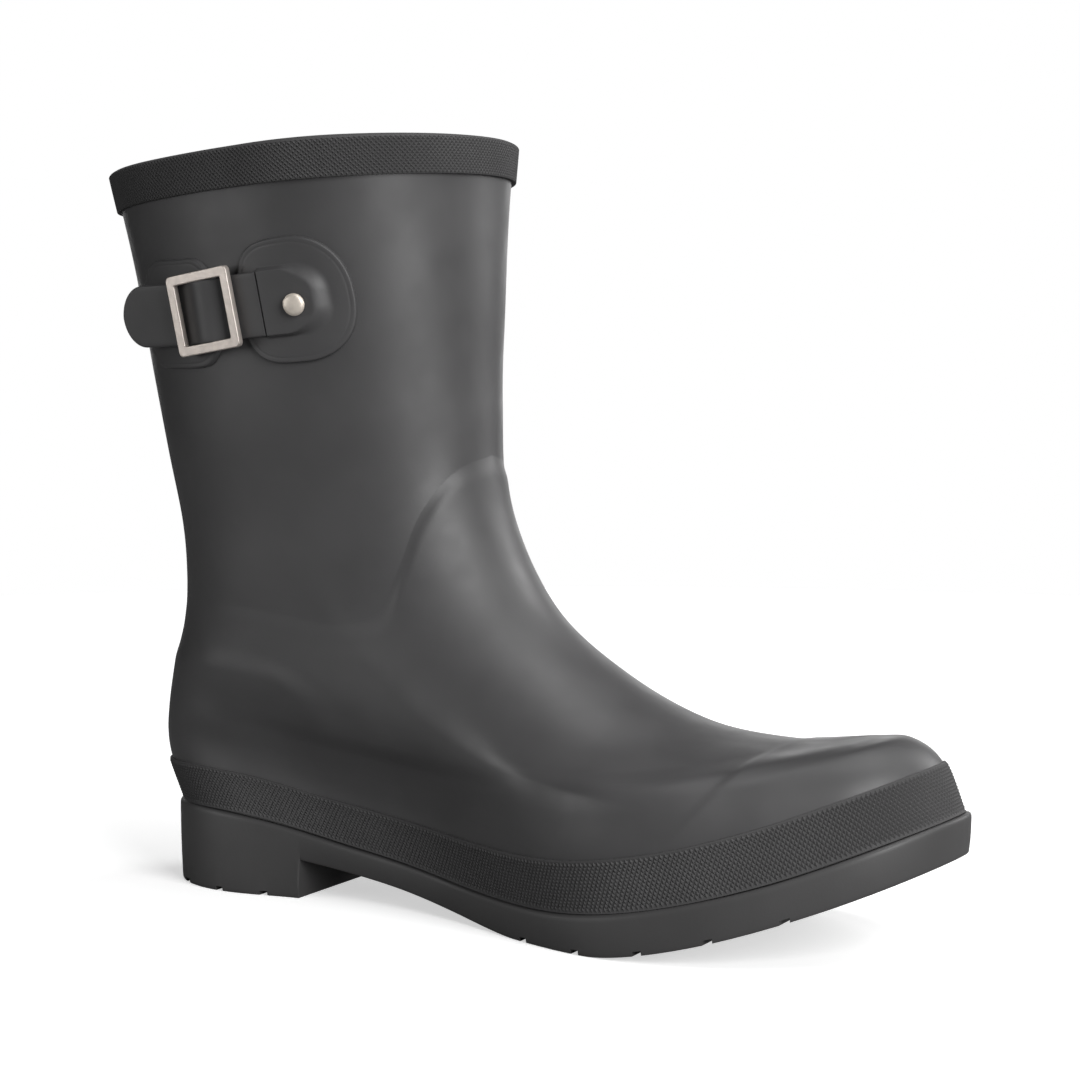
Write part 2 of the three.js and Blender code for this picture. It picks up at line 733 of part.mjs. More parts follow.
function rearPatch() {
  const centreX = buckleCentreX - rearPatchSetback;
  const corner = rearPatchCorner;
  const [a, b] = [rearPatchReach, rearPatchHalf];
  const corners = [[a, -b + corner], [a, b - corner], [a - corner, b], [-a + corner, b],
    [-a, b - corner], [-a, -b + corner], [-a + corner, -b], [a - corner, -b]];
  const outline = [];
  corners.forEach(([x, w], k) => {
    const [nextX, nextW] = corners[(k + 1) % corners.length];
    for (let m = 0; m < 3; m += 1) outline.push([lerp(x, nextX, m / 3), lerp(w, nextW, m / 3)]);
  });
  return fillPatch(centreX, outline);
}

// Patch on the leg: shrinking copies of its outline on each face, closed by a middle point.
function fillPatch(centreX, outline) {
  const rings = 4;
  const points = [];
  const faces = [];
  const size = outline.length;
  const offsets = [clearance, clearance + patchWall];
  offsets.forEach((offset, s) => {
    const first = points.length;
    points.push(strapPoint(centreX, 0, offset));
    for (let i = 1; i <= rings; i += 1) {
      const share = i / rings;
      for (const [dx, dw] of outline) points.push(strapPoint(centreX + dx * share, dw * share, offset));
    }
    const at = (i, j) => first + 1 + (i - 1) * size + (j % size);
    const add = (face) => faces.push(s ? face : face.reverse());
    for (let j = 0; j < size; j += 1) {
      add([first, at(1, j), at(1, j + 1)]);
      for (let i = 1; i < rings; i += 1) {
        add([at(i, j), at(i + 1, j), at(i + 1, j + 1)]);
        add([at(i, j), at(i + 1, j + 1), at(i, j + 1)]);
      }
    }
  });
  const low = 1 + (rings - 1) * size;
  const high = low + 1 + rings * size;
  for (let j = 0; j < size; j += 1) {
    const n = (j + 1) % size;
    faces.push([low + j, low + n, high + n], [low + j, high + n, high + j]);
  }
  return closedBody(points, faces);
}

// Buckle lies flat over the strap, one face of its frame just clear of the strap under its bars.
const toBuckle = seat(buckleCentreX, 0, 0).invert();
const strapUnderBar = strapPoint(buckleCentreX + windowHalf, 0, strapSeat + strapThick);
const buckleBottom = strapUnderBar.applyMatrix4(toBuckle).z + barPlay;

function roundedRectangle(length, height, radius, path = new THREE.Shape()) {
  const a = length / 2 - radius;
  const b = height / 2 - radius;
  path.absarc(a, -b, radius, -Math.PI / 2, 0, false);
  path.absarc(a, b, radius, 0, Math.PI / 2, false);
  path.absarc(-a, b, radius, Math.PI / 2, Math.PI, false);
  path.absarc(-a, -b, radius, Math.PI, 1.5 * Math.PI, false);
  path.closePath();
  return path;
}

function buckleFrame() {
  const shape = roundedRectangle(buckleLength, buckleHeight, buckleCorner);
  const windowHeight = buckleHeight - 2 * buckleBar;
  const window = roundedRectangle(2 * windowHalf, windowHeight, windowCorner, new THREE.Path());
  shape.holes.push(window);
  const frame = new THREE.ExtrudeGeometry(shape, {
    depth: buckleThick - 2 * buckleBevel,
    bevelThickness: buckleBevel,
    bevelSize: buckleBevel,
    bevelOffset: -buckleBevel,
    bevelSegments: 1,
    curveSegments: 4,
  });
  frame.translate(0, 0, buckleBottom + buckleBevel);
  const barLength = buckleHeight - buckleBar;
  const bar = new THREE.CylinderGeometry(crossBarRadius, crossBarRadius, barLength, 12);
  bar.translate(0, 0, crossBarCentre);
  const earHeight = buckleBottom + buckleThick / 2 - crossBarCentre;
  const ears = [-1, 1].map((side) => {
    const ear = new THREE.BoxGeometry(earWidth, buckleBar - earInset, earHeight);
    return ear.translate(0, side * (buckleHeight - buckleBar) / 2, crossBarCentre + earHeight / 2);
  });
  return join(frame, bar, ...ears).rotateZ(degToRad(buckleLean));
}

// Free end of the strap: a straight tongue with a round tip, hinged at the strap's outer edge.
function tail() {
  const half = strapWidth / 2;
  const shape = new THREE.Shape();
  shape.moveTo(0, -half);
  shape.lineTo(0, half);
  shape.lineTo(-tailLength + half, half);
  shape.absellipse(-tailLength + half, 0, half, half, Math.PI / 2, 1.5 * Math.PI, false, 0);
  shape.closePath();
  const options = { depth: strapThick, bevelEnabled: false, curveSegments: 10 };
  const tongue = new THREE.ExtrudeGeometry(shape, options);
  return tongue.translate(-tailGap, 0, -strapThick);
}

function tailFrame() {
  const root = seat(strapEnd, 0, strapSeat + strapThick);
  const normal = new THREE.Vector3().setFromMatrixColumn(root, 2);
  const up = new THREE.Vector3().setFromMatrixColumn(root, 1);
  const level = new THREE.Vector3(Math.cos(degToRad(tailAngle)), -Math.sin(degToRad(tailAngle)), 0);
  const along = level.addScaledVector(up, -level.dot(up)).normalize();
  const out = new THREE.Vector3().crossVectors(along, up).normalize();
  if (out.dot(normal) < 0) out.negate();
  const place = new THREE.Vector3().setFromMatrixPosition(root);
  return new THREE.Matrix4().makeBasis(along, up, out).setPosition(place);
}

function rivet() {
  const seatTop = strapSeat + coverRise + clearance;
  const profile = [[0, clearance]];
  profile.push([postRadius, clearance]);
  profile.push([postRadius, seatTop]);
  profile.push([rivetRadius, seatTop]);
  profile.push([rivetRadius, seatTop + rivetRim]);
  const steps = 5;
  for (let k = 1; k < steps; k += 1) {
    const turn = k * Math.PI / 2 / steps;
    const rise = (rivetRise - rivetRim) * Math.sin(turn);
    profile.push([rivetRadius * Math.cos(turn), seatTop + rivetRim + rise]);
  }
  profile.push([0, seatTop + rivetRise]);
  const geometry = new THREE.LatheGeometry(profile.map(([r, z]) => new THREE.Vector2(r, z)), 20);
  return geometry.rotateX(Math.PI / 2);
}

// ---- Scene graph ----

function finish(color, roughness, metalness = 0) {
  return new THREE.MeshStandardMaterial({ color, roughness, metalness });
}

const boot = new THREE.Group();

function add(name, geometry, material, matrix) {
  const mesh = new THREE.Mesh(geometry, material);
  mesh.name = name;
  if (matrix) mesh.applyMatrix4(matrix);
  boot.add(mesh);
}

add('outsole', outsole(), finish(0x454444, 0.6));
add('heel_core', heelCore(), finish(0x8d8577, 0.9));
add('shank', shankStrip(0), finish(0xa9abad, 0.35, 1));
add('insole_board', insoleBoard(), finish(0x9a8f7c, 0.9));
add('footbed', footbed(), finish(0x3b3b3d, 0.95));
add('upper_shell', upperShell(), finish(0x4a4a4b, 0.55));
add('foot_overlay', footOverlay(), finish(0x4a4a4b, 0.55));
add('lining', lining(), finish(0x2f2f31, 1));
add('heel_counter', heelCounter(), finish(0x6d6558, 0.9));
add('toe_puff', toePuff(), finish(0x6d6558, 0.9));
add('foxing_band', foxingBand(), finish(0x474648, 0.7));
add('top_binding', topBinding(), finish(0x424143, 0.7));
add('front_patch', frontPatch(), finish(0x4a4a4b, 0.55));
add('rear_patch', rearPatch(), finish(0x4a4a4b, 0.55));
add('strap_cover', strapCover(), finish(0x4a4a4b, 0.55));
add('strap', strap(), finish(0x434243, 0.6));
add('strap_tail', tail(), finish(0x434243, 0.6), tailFrame());
add('buckle_frame', buckleFrame(), finish(0xb9b9bd, 0.3, 1), seat(buckleCentreX, 0, 0));
add('rivet', rivet(), finish(0xc4bcb4, 0.3, 1), seat(rivetCentreX, -rivetDrop, 0));

// The origin is the middle of the boot's box, on the ground.
boot.updateMatrixWorld(true);
const box = new THREE.Box3().setFromObject(boot, true);
boot.position.set(-(box.min.x + box.max.x) / 2, -(box.min.y + box.max.y) / 2, -box.min.z);

export default boot;
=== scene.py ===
"""Short rubber rain boot with a buckled strap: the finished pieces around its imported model."""

import bmesh
import bpy
import numpy as np
from bpy.props import FloatProperty, FloatVectorProperty, PointerProperty
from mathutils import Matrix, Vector


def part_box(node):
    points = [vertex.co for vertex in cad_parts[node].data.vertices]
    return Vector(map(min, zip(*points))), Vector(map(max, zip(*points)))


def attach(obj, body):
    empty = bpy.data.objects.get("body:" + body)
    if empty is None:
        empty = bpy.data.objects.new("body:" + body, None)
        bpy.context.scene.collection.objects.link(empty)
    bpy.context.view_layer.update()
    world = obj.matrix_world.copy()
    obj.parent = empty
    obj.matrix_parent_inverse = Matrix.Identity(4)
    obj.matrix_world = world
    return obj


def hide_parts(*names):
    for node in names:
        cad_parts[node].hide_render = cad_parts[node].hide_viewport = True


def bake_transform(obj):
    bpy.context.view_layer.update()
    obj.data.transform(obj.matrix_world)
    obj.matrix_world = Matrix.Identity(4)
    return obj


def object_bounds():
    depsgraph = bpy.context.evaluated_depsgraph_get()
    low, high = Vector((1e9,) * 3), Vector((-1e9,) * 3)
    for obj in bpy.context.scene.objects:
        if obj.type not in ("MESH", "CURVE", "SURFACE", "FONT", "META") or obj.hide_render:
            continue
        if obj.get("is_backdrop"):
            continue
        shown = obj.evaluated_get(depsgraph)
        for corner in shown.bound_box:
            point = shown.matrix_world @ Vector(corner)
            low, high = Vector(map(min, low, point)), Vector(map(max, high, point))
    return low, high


bl_info = {
    "name": "Rain boot",
    "version": (1, 0, 0),
    "blender": (4, 5, 0),
    "location": "View3D > Sidebar > Rain boot",
    "description": "Builds a short rubber rain boot around its packed model",
    "category": "Add Mesh",
}

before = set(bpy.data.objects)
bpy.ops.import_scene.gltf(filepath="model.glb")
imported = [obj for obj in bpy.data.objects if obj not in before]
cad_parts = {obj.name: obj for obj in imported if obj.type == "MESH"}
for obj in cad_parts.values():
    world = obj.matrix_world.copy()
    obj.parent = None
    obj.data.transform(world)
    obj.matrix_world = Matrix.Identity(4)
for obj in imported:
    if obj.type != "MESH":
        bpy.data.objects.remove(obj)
model_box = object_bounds()

# ---- The form of the foot and leg, in millimetres from the back of the heel ----

GIRTHS = np.array([
    [15, 28, 285, 41.5, 33, 27, 47, 40, 41, 61],
    [9, 41.5, 279, 56, 31, 27, 49, 39, 41, 61],
    [7.5, 50, 271, 62, 30.5, 28.5, 49, 38, 41, 65],
    [8.5, 59, 262, 62, 32, 31, 48, 37.5, 42, 75],
    [10, 68, 238, 59, 33, 34.5, 45, 38, 44.5, 85],
    [12.2, 78, 208, 61.5, 34.3, 36, 42, 40, 46.6, 80],
    [14.7, 90, 177, 74.5, 35.5, 36.8, 40, 40, 49, 71.5],
    [16, 105, 150, 95, 37.5, 37.5, 40, 40, 52, 65],
    [15, 122, 133, 128, 39.6, 39.6, 40, 40, 55, 60],
    [10.8, 145, 129.4, 163, 43.7, 43.8, 44, 44, 57, 58],
    [5.5, 172, 129.4, 195, 46.7, 48.5, 48, 48, 60, 58],
    [-1, 205, 129.5, 225, 49.6, 53.8, 51, 51, 65, 57],
    [-9.5, 236.5, 130.2, 246, 52, 59, 54, 54, 72, 57.5],
])
FEATHER = np.array([[0, 30.2], [45, 28.6], [95, 18.6], [145, 10.7], [190, 10.5], [240, 20.2], [290, 38.5]])
MIDDLE = np.array([[0, 0], [60, 7], [120, 3.5], [200, -2], [290, 3]])
UNDERSIDE = np.array([[60, 14.4], [100, 8.6], [132, 3.2], [156, 0.2], [176, 0], [192, 0]])
STATIONS = (30, 108, 198, 258)
FEATHER_FADE = 0.6
MIDDLE_FADE = 0.75
ARCH = (5, 38, 0.5)
ROWS = len(GIRTHS) - 1
NUDGE = 1e-3
HALVINGS = 34
TURN_SAMPLES, SIDE_SAMPLES = 6001, 4001

# ---- Layers and fittings, as in the model ----

CLEAR = 0.3
SHELL = 1.8
OVERLAY = 1.3
FOXING = 2.8
BINDING_HEIGHT = 11.5
BREAST = 72
STRAP_SEAT = 1.9
STRAP_THICK = 1.8
BUCKLE_X = 56.3
BUCKLE_Z = 192.3
BUCKLE_LENGTH = 26.4
BUCKLE_BAR = 3.1
BUCKLE_THICK = 2.2
BUCKLE_HEIGHT = 25.8
BUCKLE_LEAN = np.radians(2)
BAR_RADIUS = 0.9
BAR_LIFT = 1.1
BAR_PLAY = 0.8
STRAP_SLOPE = 0.105
LEVEL_REACH = 18
LEVEL_RUN = 14
SEAM_X = 76.5
COVER_END = 99
RIVET_X = 87.7
RIVET_DROP = 1.2
STRAP_HALF = 10
STRAP_START = SEAM_X - 0.12
STRAP_END = BUCKLE_X - BUCKLE_LENGTH / 2 - 1
TAIL_LENGTH = 25
TAIL_ANGLE = np.radians(13)

MM = 0.001
SHIFT = np.array([
    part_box("upper_shell")[1].x / MM - GIRTHS[0, 2],
    (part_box("top_binding")[0].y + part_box("top_binding")[1].y) / 2 / MM,
    0.0,
])


def ease(t):
    """Smooth step: three times the square less twice the cube of t, held within 0 and 1."""
    s = np.clip(t, 0, 1)
    return s * s * (3 - 2 * s)


def mix(a, b, t):
    """Straight mix of a and b."""
    return a + (b - a) * t


def line_at(line, x):
    """Cubic Hermite line through points of rising x, each with the slope between its neighbours."""
    px, py = line[:, 0], line[:, 1]
    last = len(px) - 1
    low = np.maximum(np.arange(last + 1) - 1, 0)
    high = np.minimum(np.arange(last + 1) + 1, last)
    slope = (py[high] - py[low]) / (px[high] - px[low])
    at = np.clip(x, px[0], px[-1])
    i = np.searchsorted(px[1:-1], at)
    h = px[i + 1] - px[i]
    t = (at - px[i]) / h
    s = 1 - t
    rise = py[i] * (1 + 2 * t) * s * s + slope[i] * h * t * s * s
    return rise + py[i + 1] * t * t * (3 - 2 * t) - slope[i + 1] * h * t * t * s


def girth_at(v):
    """Catmull-Rom through the girth rows; v is 0 at the bottom edge and 1 at the top."""
    rows = np.vstack([2 * GIRTHS[0] - GIRTHS[1], GIRTHS, 2 * GIRTHS[-1] - GIRTHS[-2]])
    u = np.clip(v, 0, 1) * ROWS
    i = np.minimum(np.floor(u), ROWS - 1).astype(int)
    w = (u - i)[..., None]
    p0, p1, p2, p3 = rows[i], rows[i + 1], rows[i + 2], rows[i + 3]
    v0, v1 = (p2 - p0) / 2, (p3 - p1) / 2
    return (2 * p1 - 2 * p2 + v0 + v1) * w ** 3 + (3 * p2 - 3 * p1 - 2 * v0 - v1) * w ** 2 + v0 * w + p1


def rounded(t):
    """Quarter circle from 0 to 1."""
    return np.sqrt(np.maximum(0, 1 - (1 - np.clip(t, 0, 1)) ** 2))


def feather_sag(share):
    """Height by which the curved bottom edge lies off a straight one."""
    bottom = GIRTHS[0]
    ends = mix(line_at(FEATHER, bottom[0]), line_at(FEATHER, bottom[2]), share)
    return line_at(FEATHER, mix(bottom[0], bottom[2], share)) - ends


def feather_height(x):
    """Height of the bottom edge of the upper at x."""
    bottom = GIRTHS[0]
    share = (x - bottom[0]) / (bottom[2] - bottom[0])
    return mix(bottom[1], bottom[3], share) + feather_sag(share)


def form(phi, v):
    """Foot and leg: a girth line at height share v, at turn phi, 0 in front and negative on the buckle side.
    Length and height go with the cosine of the turn, and the row's half width is rounded at its ends."""
    phi, v = np.broadcast_arrays(np.asarray(phi, float), np.asarray(v, float))
    row = np.moveaxis(girth_at(v), -1, 0)
    bx, bz, fx, fz, heel, waist, ball, toe, round_back, round_front = row
    share = (1 + np.cos(phi)) / 2
    x = mix(bx, fx, share)
    z = mix(bz, fz, share) + (1 - ease(v / FEATHER_FADE)) * feather_sag(share)
    x0, x1, x2, x3 = STATIONS
    inner = np.sin(phi) >= 0
    arch = ARCH[0] * np.exp(-(((x - x1) / ARCH[1]) ** 2)) * (1 - ease(v / ARCH[2]))
    half = heel + (waist - heel) * ease((x - x0) / (x1 - x0)) + (ball - waist) * ease((x - x1) / (x2 - x1))
    half = half + (toe - ball) * ease((x - x2) / (x3 - x2)) - np.where(inner, arch, 0)
    width = half * rounded((fx - x) / round_front) * rounded((x - bx) / round_back)
    y = line_at(MIDDLE, x) * (1 - ease(v / MIDDLE_FADE)) + np.where(inner, width, -width)
    return np.stack([x, y, z], -1)


def unit(a):
    """Vectors brought to length 1."""
    return a / np.maximum(np.linalg.norm(a, axis=-1, keepdims=True), 1e-12)


def up_at(phi, v):
    """Direction up the form."""
    return unit(form(phi, np.minimum(v + NUDGE, 1)) - form(phi, np.maximum(v - NUDGE, 0)))


def normal_at(phi, v):
    """Direction out of the form."""
    along = form(phi + NUDGE, v) - form(phi - NUDGE, v)
    return unit(np.cross(along, up_at(phi, v)))


def level_at(phi, v, offset):
    """Form moved level by a distance off its surface."""
    normal = normal_at(phi, v)
    share = offset / (normal[..., 0] ** 2 + normal[..., 1] ** 2)
    point = form(phi, v)
    point[..., 0] += normal[..., 0] * share
    point[..., 1] += normal[..., 1] * share
    return point


def layer(phi, v, offset, rise=0.0):
    """Form moved out by offset, and beyond the top edge by rise. The bottom edge ends on the sole's seat."""
    phi, v, offset, rise = np.broadcast_arrays(phi, v, offset, rise)
    point = form(phi, v) + normal_at(phi, v) * offset[..., None] + up_at(phi, v) * rise[..., None]
    seat = level_at(phi, v, offset)
    seat[..., 2] = feather_height(seat[..., 0])
    return np.where((v <= 0)[..., None], seat, point)


def even_turns(v, count, offset=0.0):
    """Turns round the form with equal steps of length between them, starting in front."""
    phi = np.linspace(0, 2 * np.pi, TURN_SAMPLES)
    points = form(phi, np.full_like(phi, v)) + normal_at(phi, np.full_like(phi, v)) * offset
    length = np.concatenate([[0], np.cumsum(np.linalg.norm(np.diff(points, axis=0), axis=1))])
    return np.interp(np.arange(count) * length[-1] / count, length, phi)


def turn_of(phi):
    """Turn away from the front, the same on both sides."""
    return np.abs(np.arctan2(np.sin(phi), np.cos(phi)))


# ---- Places on the buckle side of the leg ----

def leg_at(x, z):
    """Point and normal of the leg at x and z on the buckle side, found by halving the height share."""
    x, z = np.broadcast_arrays(np.asarray(x, float), np.asarray(z, float))
    low, high = np.full(x.shape, 0.5), np.ones(x.shape)
    phi = np.zeros(x.shape)
    for _ in range(HALVINGS):
        v = (low + high) / 2
        row = girth_at(v)
        phi = -np.arccos(np.clip(2 * (x - row[..., 0]) / (row[..., 2] - row[..., 0]) - 1, -1, 1))
        below = form(phi, v)[..., 2] < z
        low, high = np.where(below, v, low), np.where(below, high, v)
    return form(phi, low), normal_at(phi, low)


def slope_at(x):
    """Slope of the strap, level behind the buckle."""
    return STRAP_SLOPE * ease((x - BUCKLE_X + LEVEL_REACH) / LEVEL_RUN)


def strap_height(x):
    """Height of the strap's middle line: its slope summed from the middle of the buckle."""
    def summed(share):
        t = np.clip(share, 0, 1)
        return t ** 3 - t ** 4 / 2 + np.maximum(0, share - 1)

    rise = summed((x - BUCKLE_X + LEVEL_REACH) / LEVEL_RUN) - summed(LEVEL_REACH / LEVEL_RUN)
    return BUCKLE_Z + STRAP_SLOPE * LEVEL_RUN * rise


def on_strap(x, w, offset):
    """Point along the strap at x, across it at w, at a distance off the leg."""
    x, w, offset = np.broadcast_arrays(x, w, offset)
    point, normal = leg_at(x - w * slope_at(x), strap_height(x) + w)
    return point + normal * offset[..., None]


def seat(x, w):
    """Frame of a fitting on the leg: rows are the directions along the strap, up and out, and its place."""
    point, normal = leg_at(x - w * slope_at(x), strap_height(x) + w)
    along = on_strap(x + 0.5, w, 0.0) - on_strap(x - 0.5, w, 0.0)
    along = unit(along - normal * (along @ normal))
    return along, np.cross(normal, along), normal, point


def in_frame(place, points):
    """Points given along, up and out of a fitting's frame, brought to the boot."""
    along, up, out, origin = place
    return origin + points[..., 0:1] * along + points[..., 1:2] * up + points[..., 2:3] * out


# ---- Meshes ----

def new_piece(name, points, faces, material, sharp=35, uv=None, merge=0.0):
    """Mesh object from points in millimetres and faces of three or four corners."""
    mesh = bpy.data.meshes.new(name)
    flat = (points.reshape(-1, 3) + SHIFT) * MM
    corners = np.concatenate([f.ravel() for f in faces]).astype(np.int32)
    totals = np.concatenate([np.full(len(f), f.shape[1], np.int32) for f in faces])
    mesh.vertices.add(len(flat))
    mesh.vertices.foreach_set("co", flat.astype(np.float32).ravel())
    mesh.loops.add(len(corners))
    mesh.loops.foreach_set("vertex_index", corners)
    mesh.polygons.add(len(totals))
    mesh.polygons.foreach_set("loop_start", np.concatenate([[0], np.cumsum(totals)[:-1]]).astype(np.int32))
    mesh.polygons.foreach_set("loop_total", totals)
    mesh.update(calc_edges=True)
    if uv is not None:
        mesh.uv_layers.new(name="UVMap").data.foreach_set("uv", uv.astype(np.float32).ravel())
    if merge:
        work = bmesh.new()
        work.from_mesh(mesh)
        bmesh.ops.remove_doubles(work, verts=work.verts, dist=merge * MM)
        bmesh.ops.dissolve_degenerate(work, edges=work.edges, dist=merge * MM)
        work.to_mesh(mesh)
        work.free()
    if mesh.validate(clean_customdata=False):
        print(name, "had faces that were mended")
    if signed_volume(mesh) < 0:
        mesh.flip_normals()
    mesh.shade_smooth()
    mesh.set_sharp_from_angle(angle=np.radians(sharp))
    mesh.materials.append(material)
    thing = bpy.data.objects.new(name, mesh)
    bpy.context.scene.collection.objects.link(thing)
    return thing


def signed_volume(mesh):
    """Sum of the triangles' volumes with the origin: positive where the faces point out."""
    mesh.calc_loop_triangles()
    corners = np.zeros(len(mesh.loop_triangles) * 3, np.int32)
    mesh.loop_triangles.foreach_get("vertices", corners)
    co = np.zeros(len(mesh.vertices) * 3, np.float32)
    mesh.vertices.foreach_get("co", co)
    a, b, c = co.reshape(-1, 3)[corners.reshape(-1, 3)].astype(float).transpose(1, 0, 2)
    return float(np.einsum("ij,ij->i", a, np.cross(b, c)).sum())


def quads(rows, columns, wrap_rows=True, wrap_columns=True, start=0):
    """Faces of a grid of points, closed on itself in either direction."""
    i, j = np.meshgrid(
        np.arange(rows if wrap_rows else rows - 1),
        np.arange(columns if wrap_columns else columns - 1),
        indexing="ij",
    )
    i2, j2 = (i + 1) % rows, (j + 1) % columns
    corner = lambda a, b: start + (a * columns + b).ravel()
    return np.stack([corner(i, j), corner(i, j2), corner(i2, j2), corner(i2, j)], 1)


def knurl_faces(rows, columns):
    """Triangles of a closed grid whose every second point stands up, so that each is the tip of a diamond."""
    face = quads(rows, columns)
    i, j = np.meshgrid(np.arange(rows), np.arange(columns), indexing="ij")
    tip = ((i + j) % 2 == 0).ravel()
    a, b, c, d = face.T
    first = np.where(tip[:, None], np.stack([a, b, d], 1), np.stack([a, b, c], 1))
    second = np.where(tip[:, None], np.stack([b, c, d], 1), np.stack([a, c, d], 1))
    return np.concatenate([first, second])


def grid_uv(u, v, rows, columns):
    """Map of a closed grid: u and v hold one more value than it has columns and rows."""
    i, j = np.meshgrid(np.arange(rows), np.arange(columns), indexing="ij")
    corner = lambda a, b: np.stack([u[b], v[a]], -1)
    return np.stack([corner(i, j), corner(i, j + 1), corner(i + 1, j + 1), corner(i + 1, j)], 2)


def ball_faces(rings, columns):
    """Faces of rings of points between two end points; the end points come last."""
    body = quads(rings, columns, wrap_rows=False)
    j = np.arange(columns)
    n = (j + 1) % columns
    first, last = rings * columns, rings * columns + 1
    base = (rings - 1) * columns
    start = np.stack([np.full(columns, first), n, j], 1)
    end = np.stack([np.full(columns, last), base + j, base + n], 1)
    return [body, start, end]


def ball_points(rings):
    """Rings of points with the middles of the first and last ring added as end points."""
    ends = np.stack([rings[0].mean(0), rings[-1].mean(0)])
    return np.concatenate([rings.reshape(-1, 3), ends])


# ---- Finishes ----

# Scale of a wave pattern times the length of its wave.
WAVE = np.pi / 10


def finish_material(name, color, roughness, metallic=0.0):
    """New material: returns it with its node tree, its main shader and its coordinates."""
    material = bpy.data.materials.new(name)
    material.use_nodes = True
    material.diffuse_color = (*color, 1)
    tree = material.node_tree
    shader = tree.nodes["Principled BSDF"]
    wire(tree, shader, Base_Color=(*color, 1), Roughness=roughness, Metallic=metallic)
    place = tree.nodes.new("ShaderNodeTexCoord")
    return material, tree, shader, place


def wire(tree, node, **inputs):
    """Sets each input of a node to a value, or links it to an output. Underscores stand for spaces."""
    for name, value in inputs.items():
        socket = node.inputs[name.replace("_", " ")]
        if isinstance(value, bpy.types.NodeSocket):
            tree.links.new(value, socket)
        else:
            socket.default_value = value


def add_node(tree, kind, **inputs):
    """New node with its inputs."""
    node = tree.nodes.new("ShaderNode" + kind)
    wire(tree, node, **inputs)
    return node


def noise(tree, source, scale, detail=2.0, stretch=None):
    """Noise on the piece's own coordinates, scale in bumps per metre, drawn out along an axis if asked."""
    if stretch is not None:
        source = add_node(tree, "Mapping", Vector=source, Scale=stretch).outputs["Vector"]
    return add_node(tree, "TexNoise", Vector=source, Scale=scale, Detail=detail).outputs["Fac"]


def ranged(tree, source, low, high):
    """A noise brought to the range between two values."""
    node = add_node(tree, "MapRange", Value=source, From_Min=0.3, From_Max=0.7, To_Min=low, To_Max=high)
    return node.outputs["Result"]


def tinted(tree, source, low, high):
    """A colour between two, following a value from 0 to 1."""
    node = tree.nodes.new("ShaderNodeMix")
    node.data_type = "RGBA"
    node.inputs[6].default_value = (*low, 1)
    node.inputs[7].default_value = (*high, 1)
    tree.links.new(source, node.inputs[0])
    return node.outputs[2]


def bumped(tree, source, depth, strength=1.0, **under):
    """Bump from a height, depth in metres, over another bump."""
    return add_node(tree, "Bump", Height=source, Distance=depth, Strength=strength, **under).outputs["Normal"]


def scaled(color, factor):
    """A colour made lighter or darker."""
    return tuple(min(1.0, c * factor) for c in color)


def rubber(name, color, roughness, spread=0.08, grain=0.00002):
    """Satin rubber: a slightly uneven tone, uneven gloss, a faint ripple from the mould and a fine grain."""
    material, tree, shader, place = finish_material(name, color, roughness)
    source = place.outputs["Object"]
    broad = noise(tree, source, 22, 3)
    blotch = noise(tree, source, 60, 4)
    ripple = bumped(tree, noise(tree, source, 34, 2), 0.00045, 0.35)
    wire(
        tree, shader,
        Base_Color=tinted(tree, ranged(tree, broad, 0, 1), scaled(color, 0.9), scaled(color, 1.1)),
        Roughness=ranged(tree, blotch, roughness - spread, roughness + spread),
        Normal=bumped(tree, noise(tree, source, 1400, 2), grain, 0.6, Normal=ripple),
    )
    return material


def metal(name, color, roughness, along):
    """Brushed metal: long fine scratches that turn the surface and its gloss, and a few dull patches."""
    material, tree, shader, place = finish_material(name, color, roughness, 0.7)
    source = place.outputs["Object"]
    lines = noise(tree, source, 5200, 3, along)
    patches = noise(tree, source, 420, 2)
    wire(
        tree, shader,
        Base_Color=tinted(tree, ranged(tree, patches, 0, 1), scaled(color, 0.9), scaled(color, 1.06)),
        Roughness=ranged(tree, lines, roughness - 0.08, roughness + 0.1),
        Normal=bumped(tree, lines, 0.00003, 0.5),
    )
    return material


def knitted(name, color):
    """Knit: upright ribs crossed by slanted loops on the piece's map, with a little fuzz, and painted shade
    in its hollows.
    """
    rib_gap, loop_gap = 1.1 * MM, 1.4 * MM
    material, tree, shader, place = finish_material(name, color, 0.95)
    source = place.outputs["UV"]
    ribs = add_node(tree, "TexWave", Vector=source, Scale=WAVE / rib_gap, Distortion=0.6)
    ribs.bands_direction = "X"
    loops = add_node(tree, "TexWave", Vector=source, Scale=WAVE / loop_gap)
    loops.bands_direction = "DIAGONAL"
    height = tree.nodes.new("ShaderNodeMath")
    height.operation = "MULTIPLY"
    tree.links.new(ribs.outputs["Fac"], height.inputs[0])
    tree.links.new(loops.outputs["Fac"], height.inputs[1])
    fuzz = bumped(tree, noise(tree, place.outputs["Object"], 2500, 3), 0.0001, 0.5)
    # Painted shade and highlight: the knit's colour is darker in its hollows and lighter on its raised loops,
    # following the height that also drives its bump.
    wire(
        tree, shader,
        Base_Color=tinted(tree, height.outputs[0], scaled(color, 0.8), scaled(color, 1.25)),
        Normal=bumped(tree, height.outputs[0], 0.00025, 0.8, Normal=fuzz),
        Sheen_Weight=0.3,
    )
    return material


def board(name, color):
    """Pressed fibre: speckled tone and a rough face."""
    material, tree, shader, place = finish_material(name, color, 0.9)
    speck = noise(tree, place.outputs["Object"], 900, 6)
    wire(
        tree, shader,
        Base_Color=tinted(tree, ranged(tree, speck, 0, 1), scaled(color, 0.7), scaled(color, 1.2)),
        Normal=bumped(tree, speck, 0.0003, 0.6),
    )
    return material


# ---- Settings ----

def length(name, description, default, low, high):
    """Setting that holds a length in metres."""
    return FloatProperty(
        name=name, description=description, default=default, min=low, max=high, unit="LENGTH"
    )


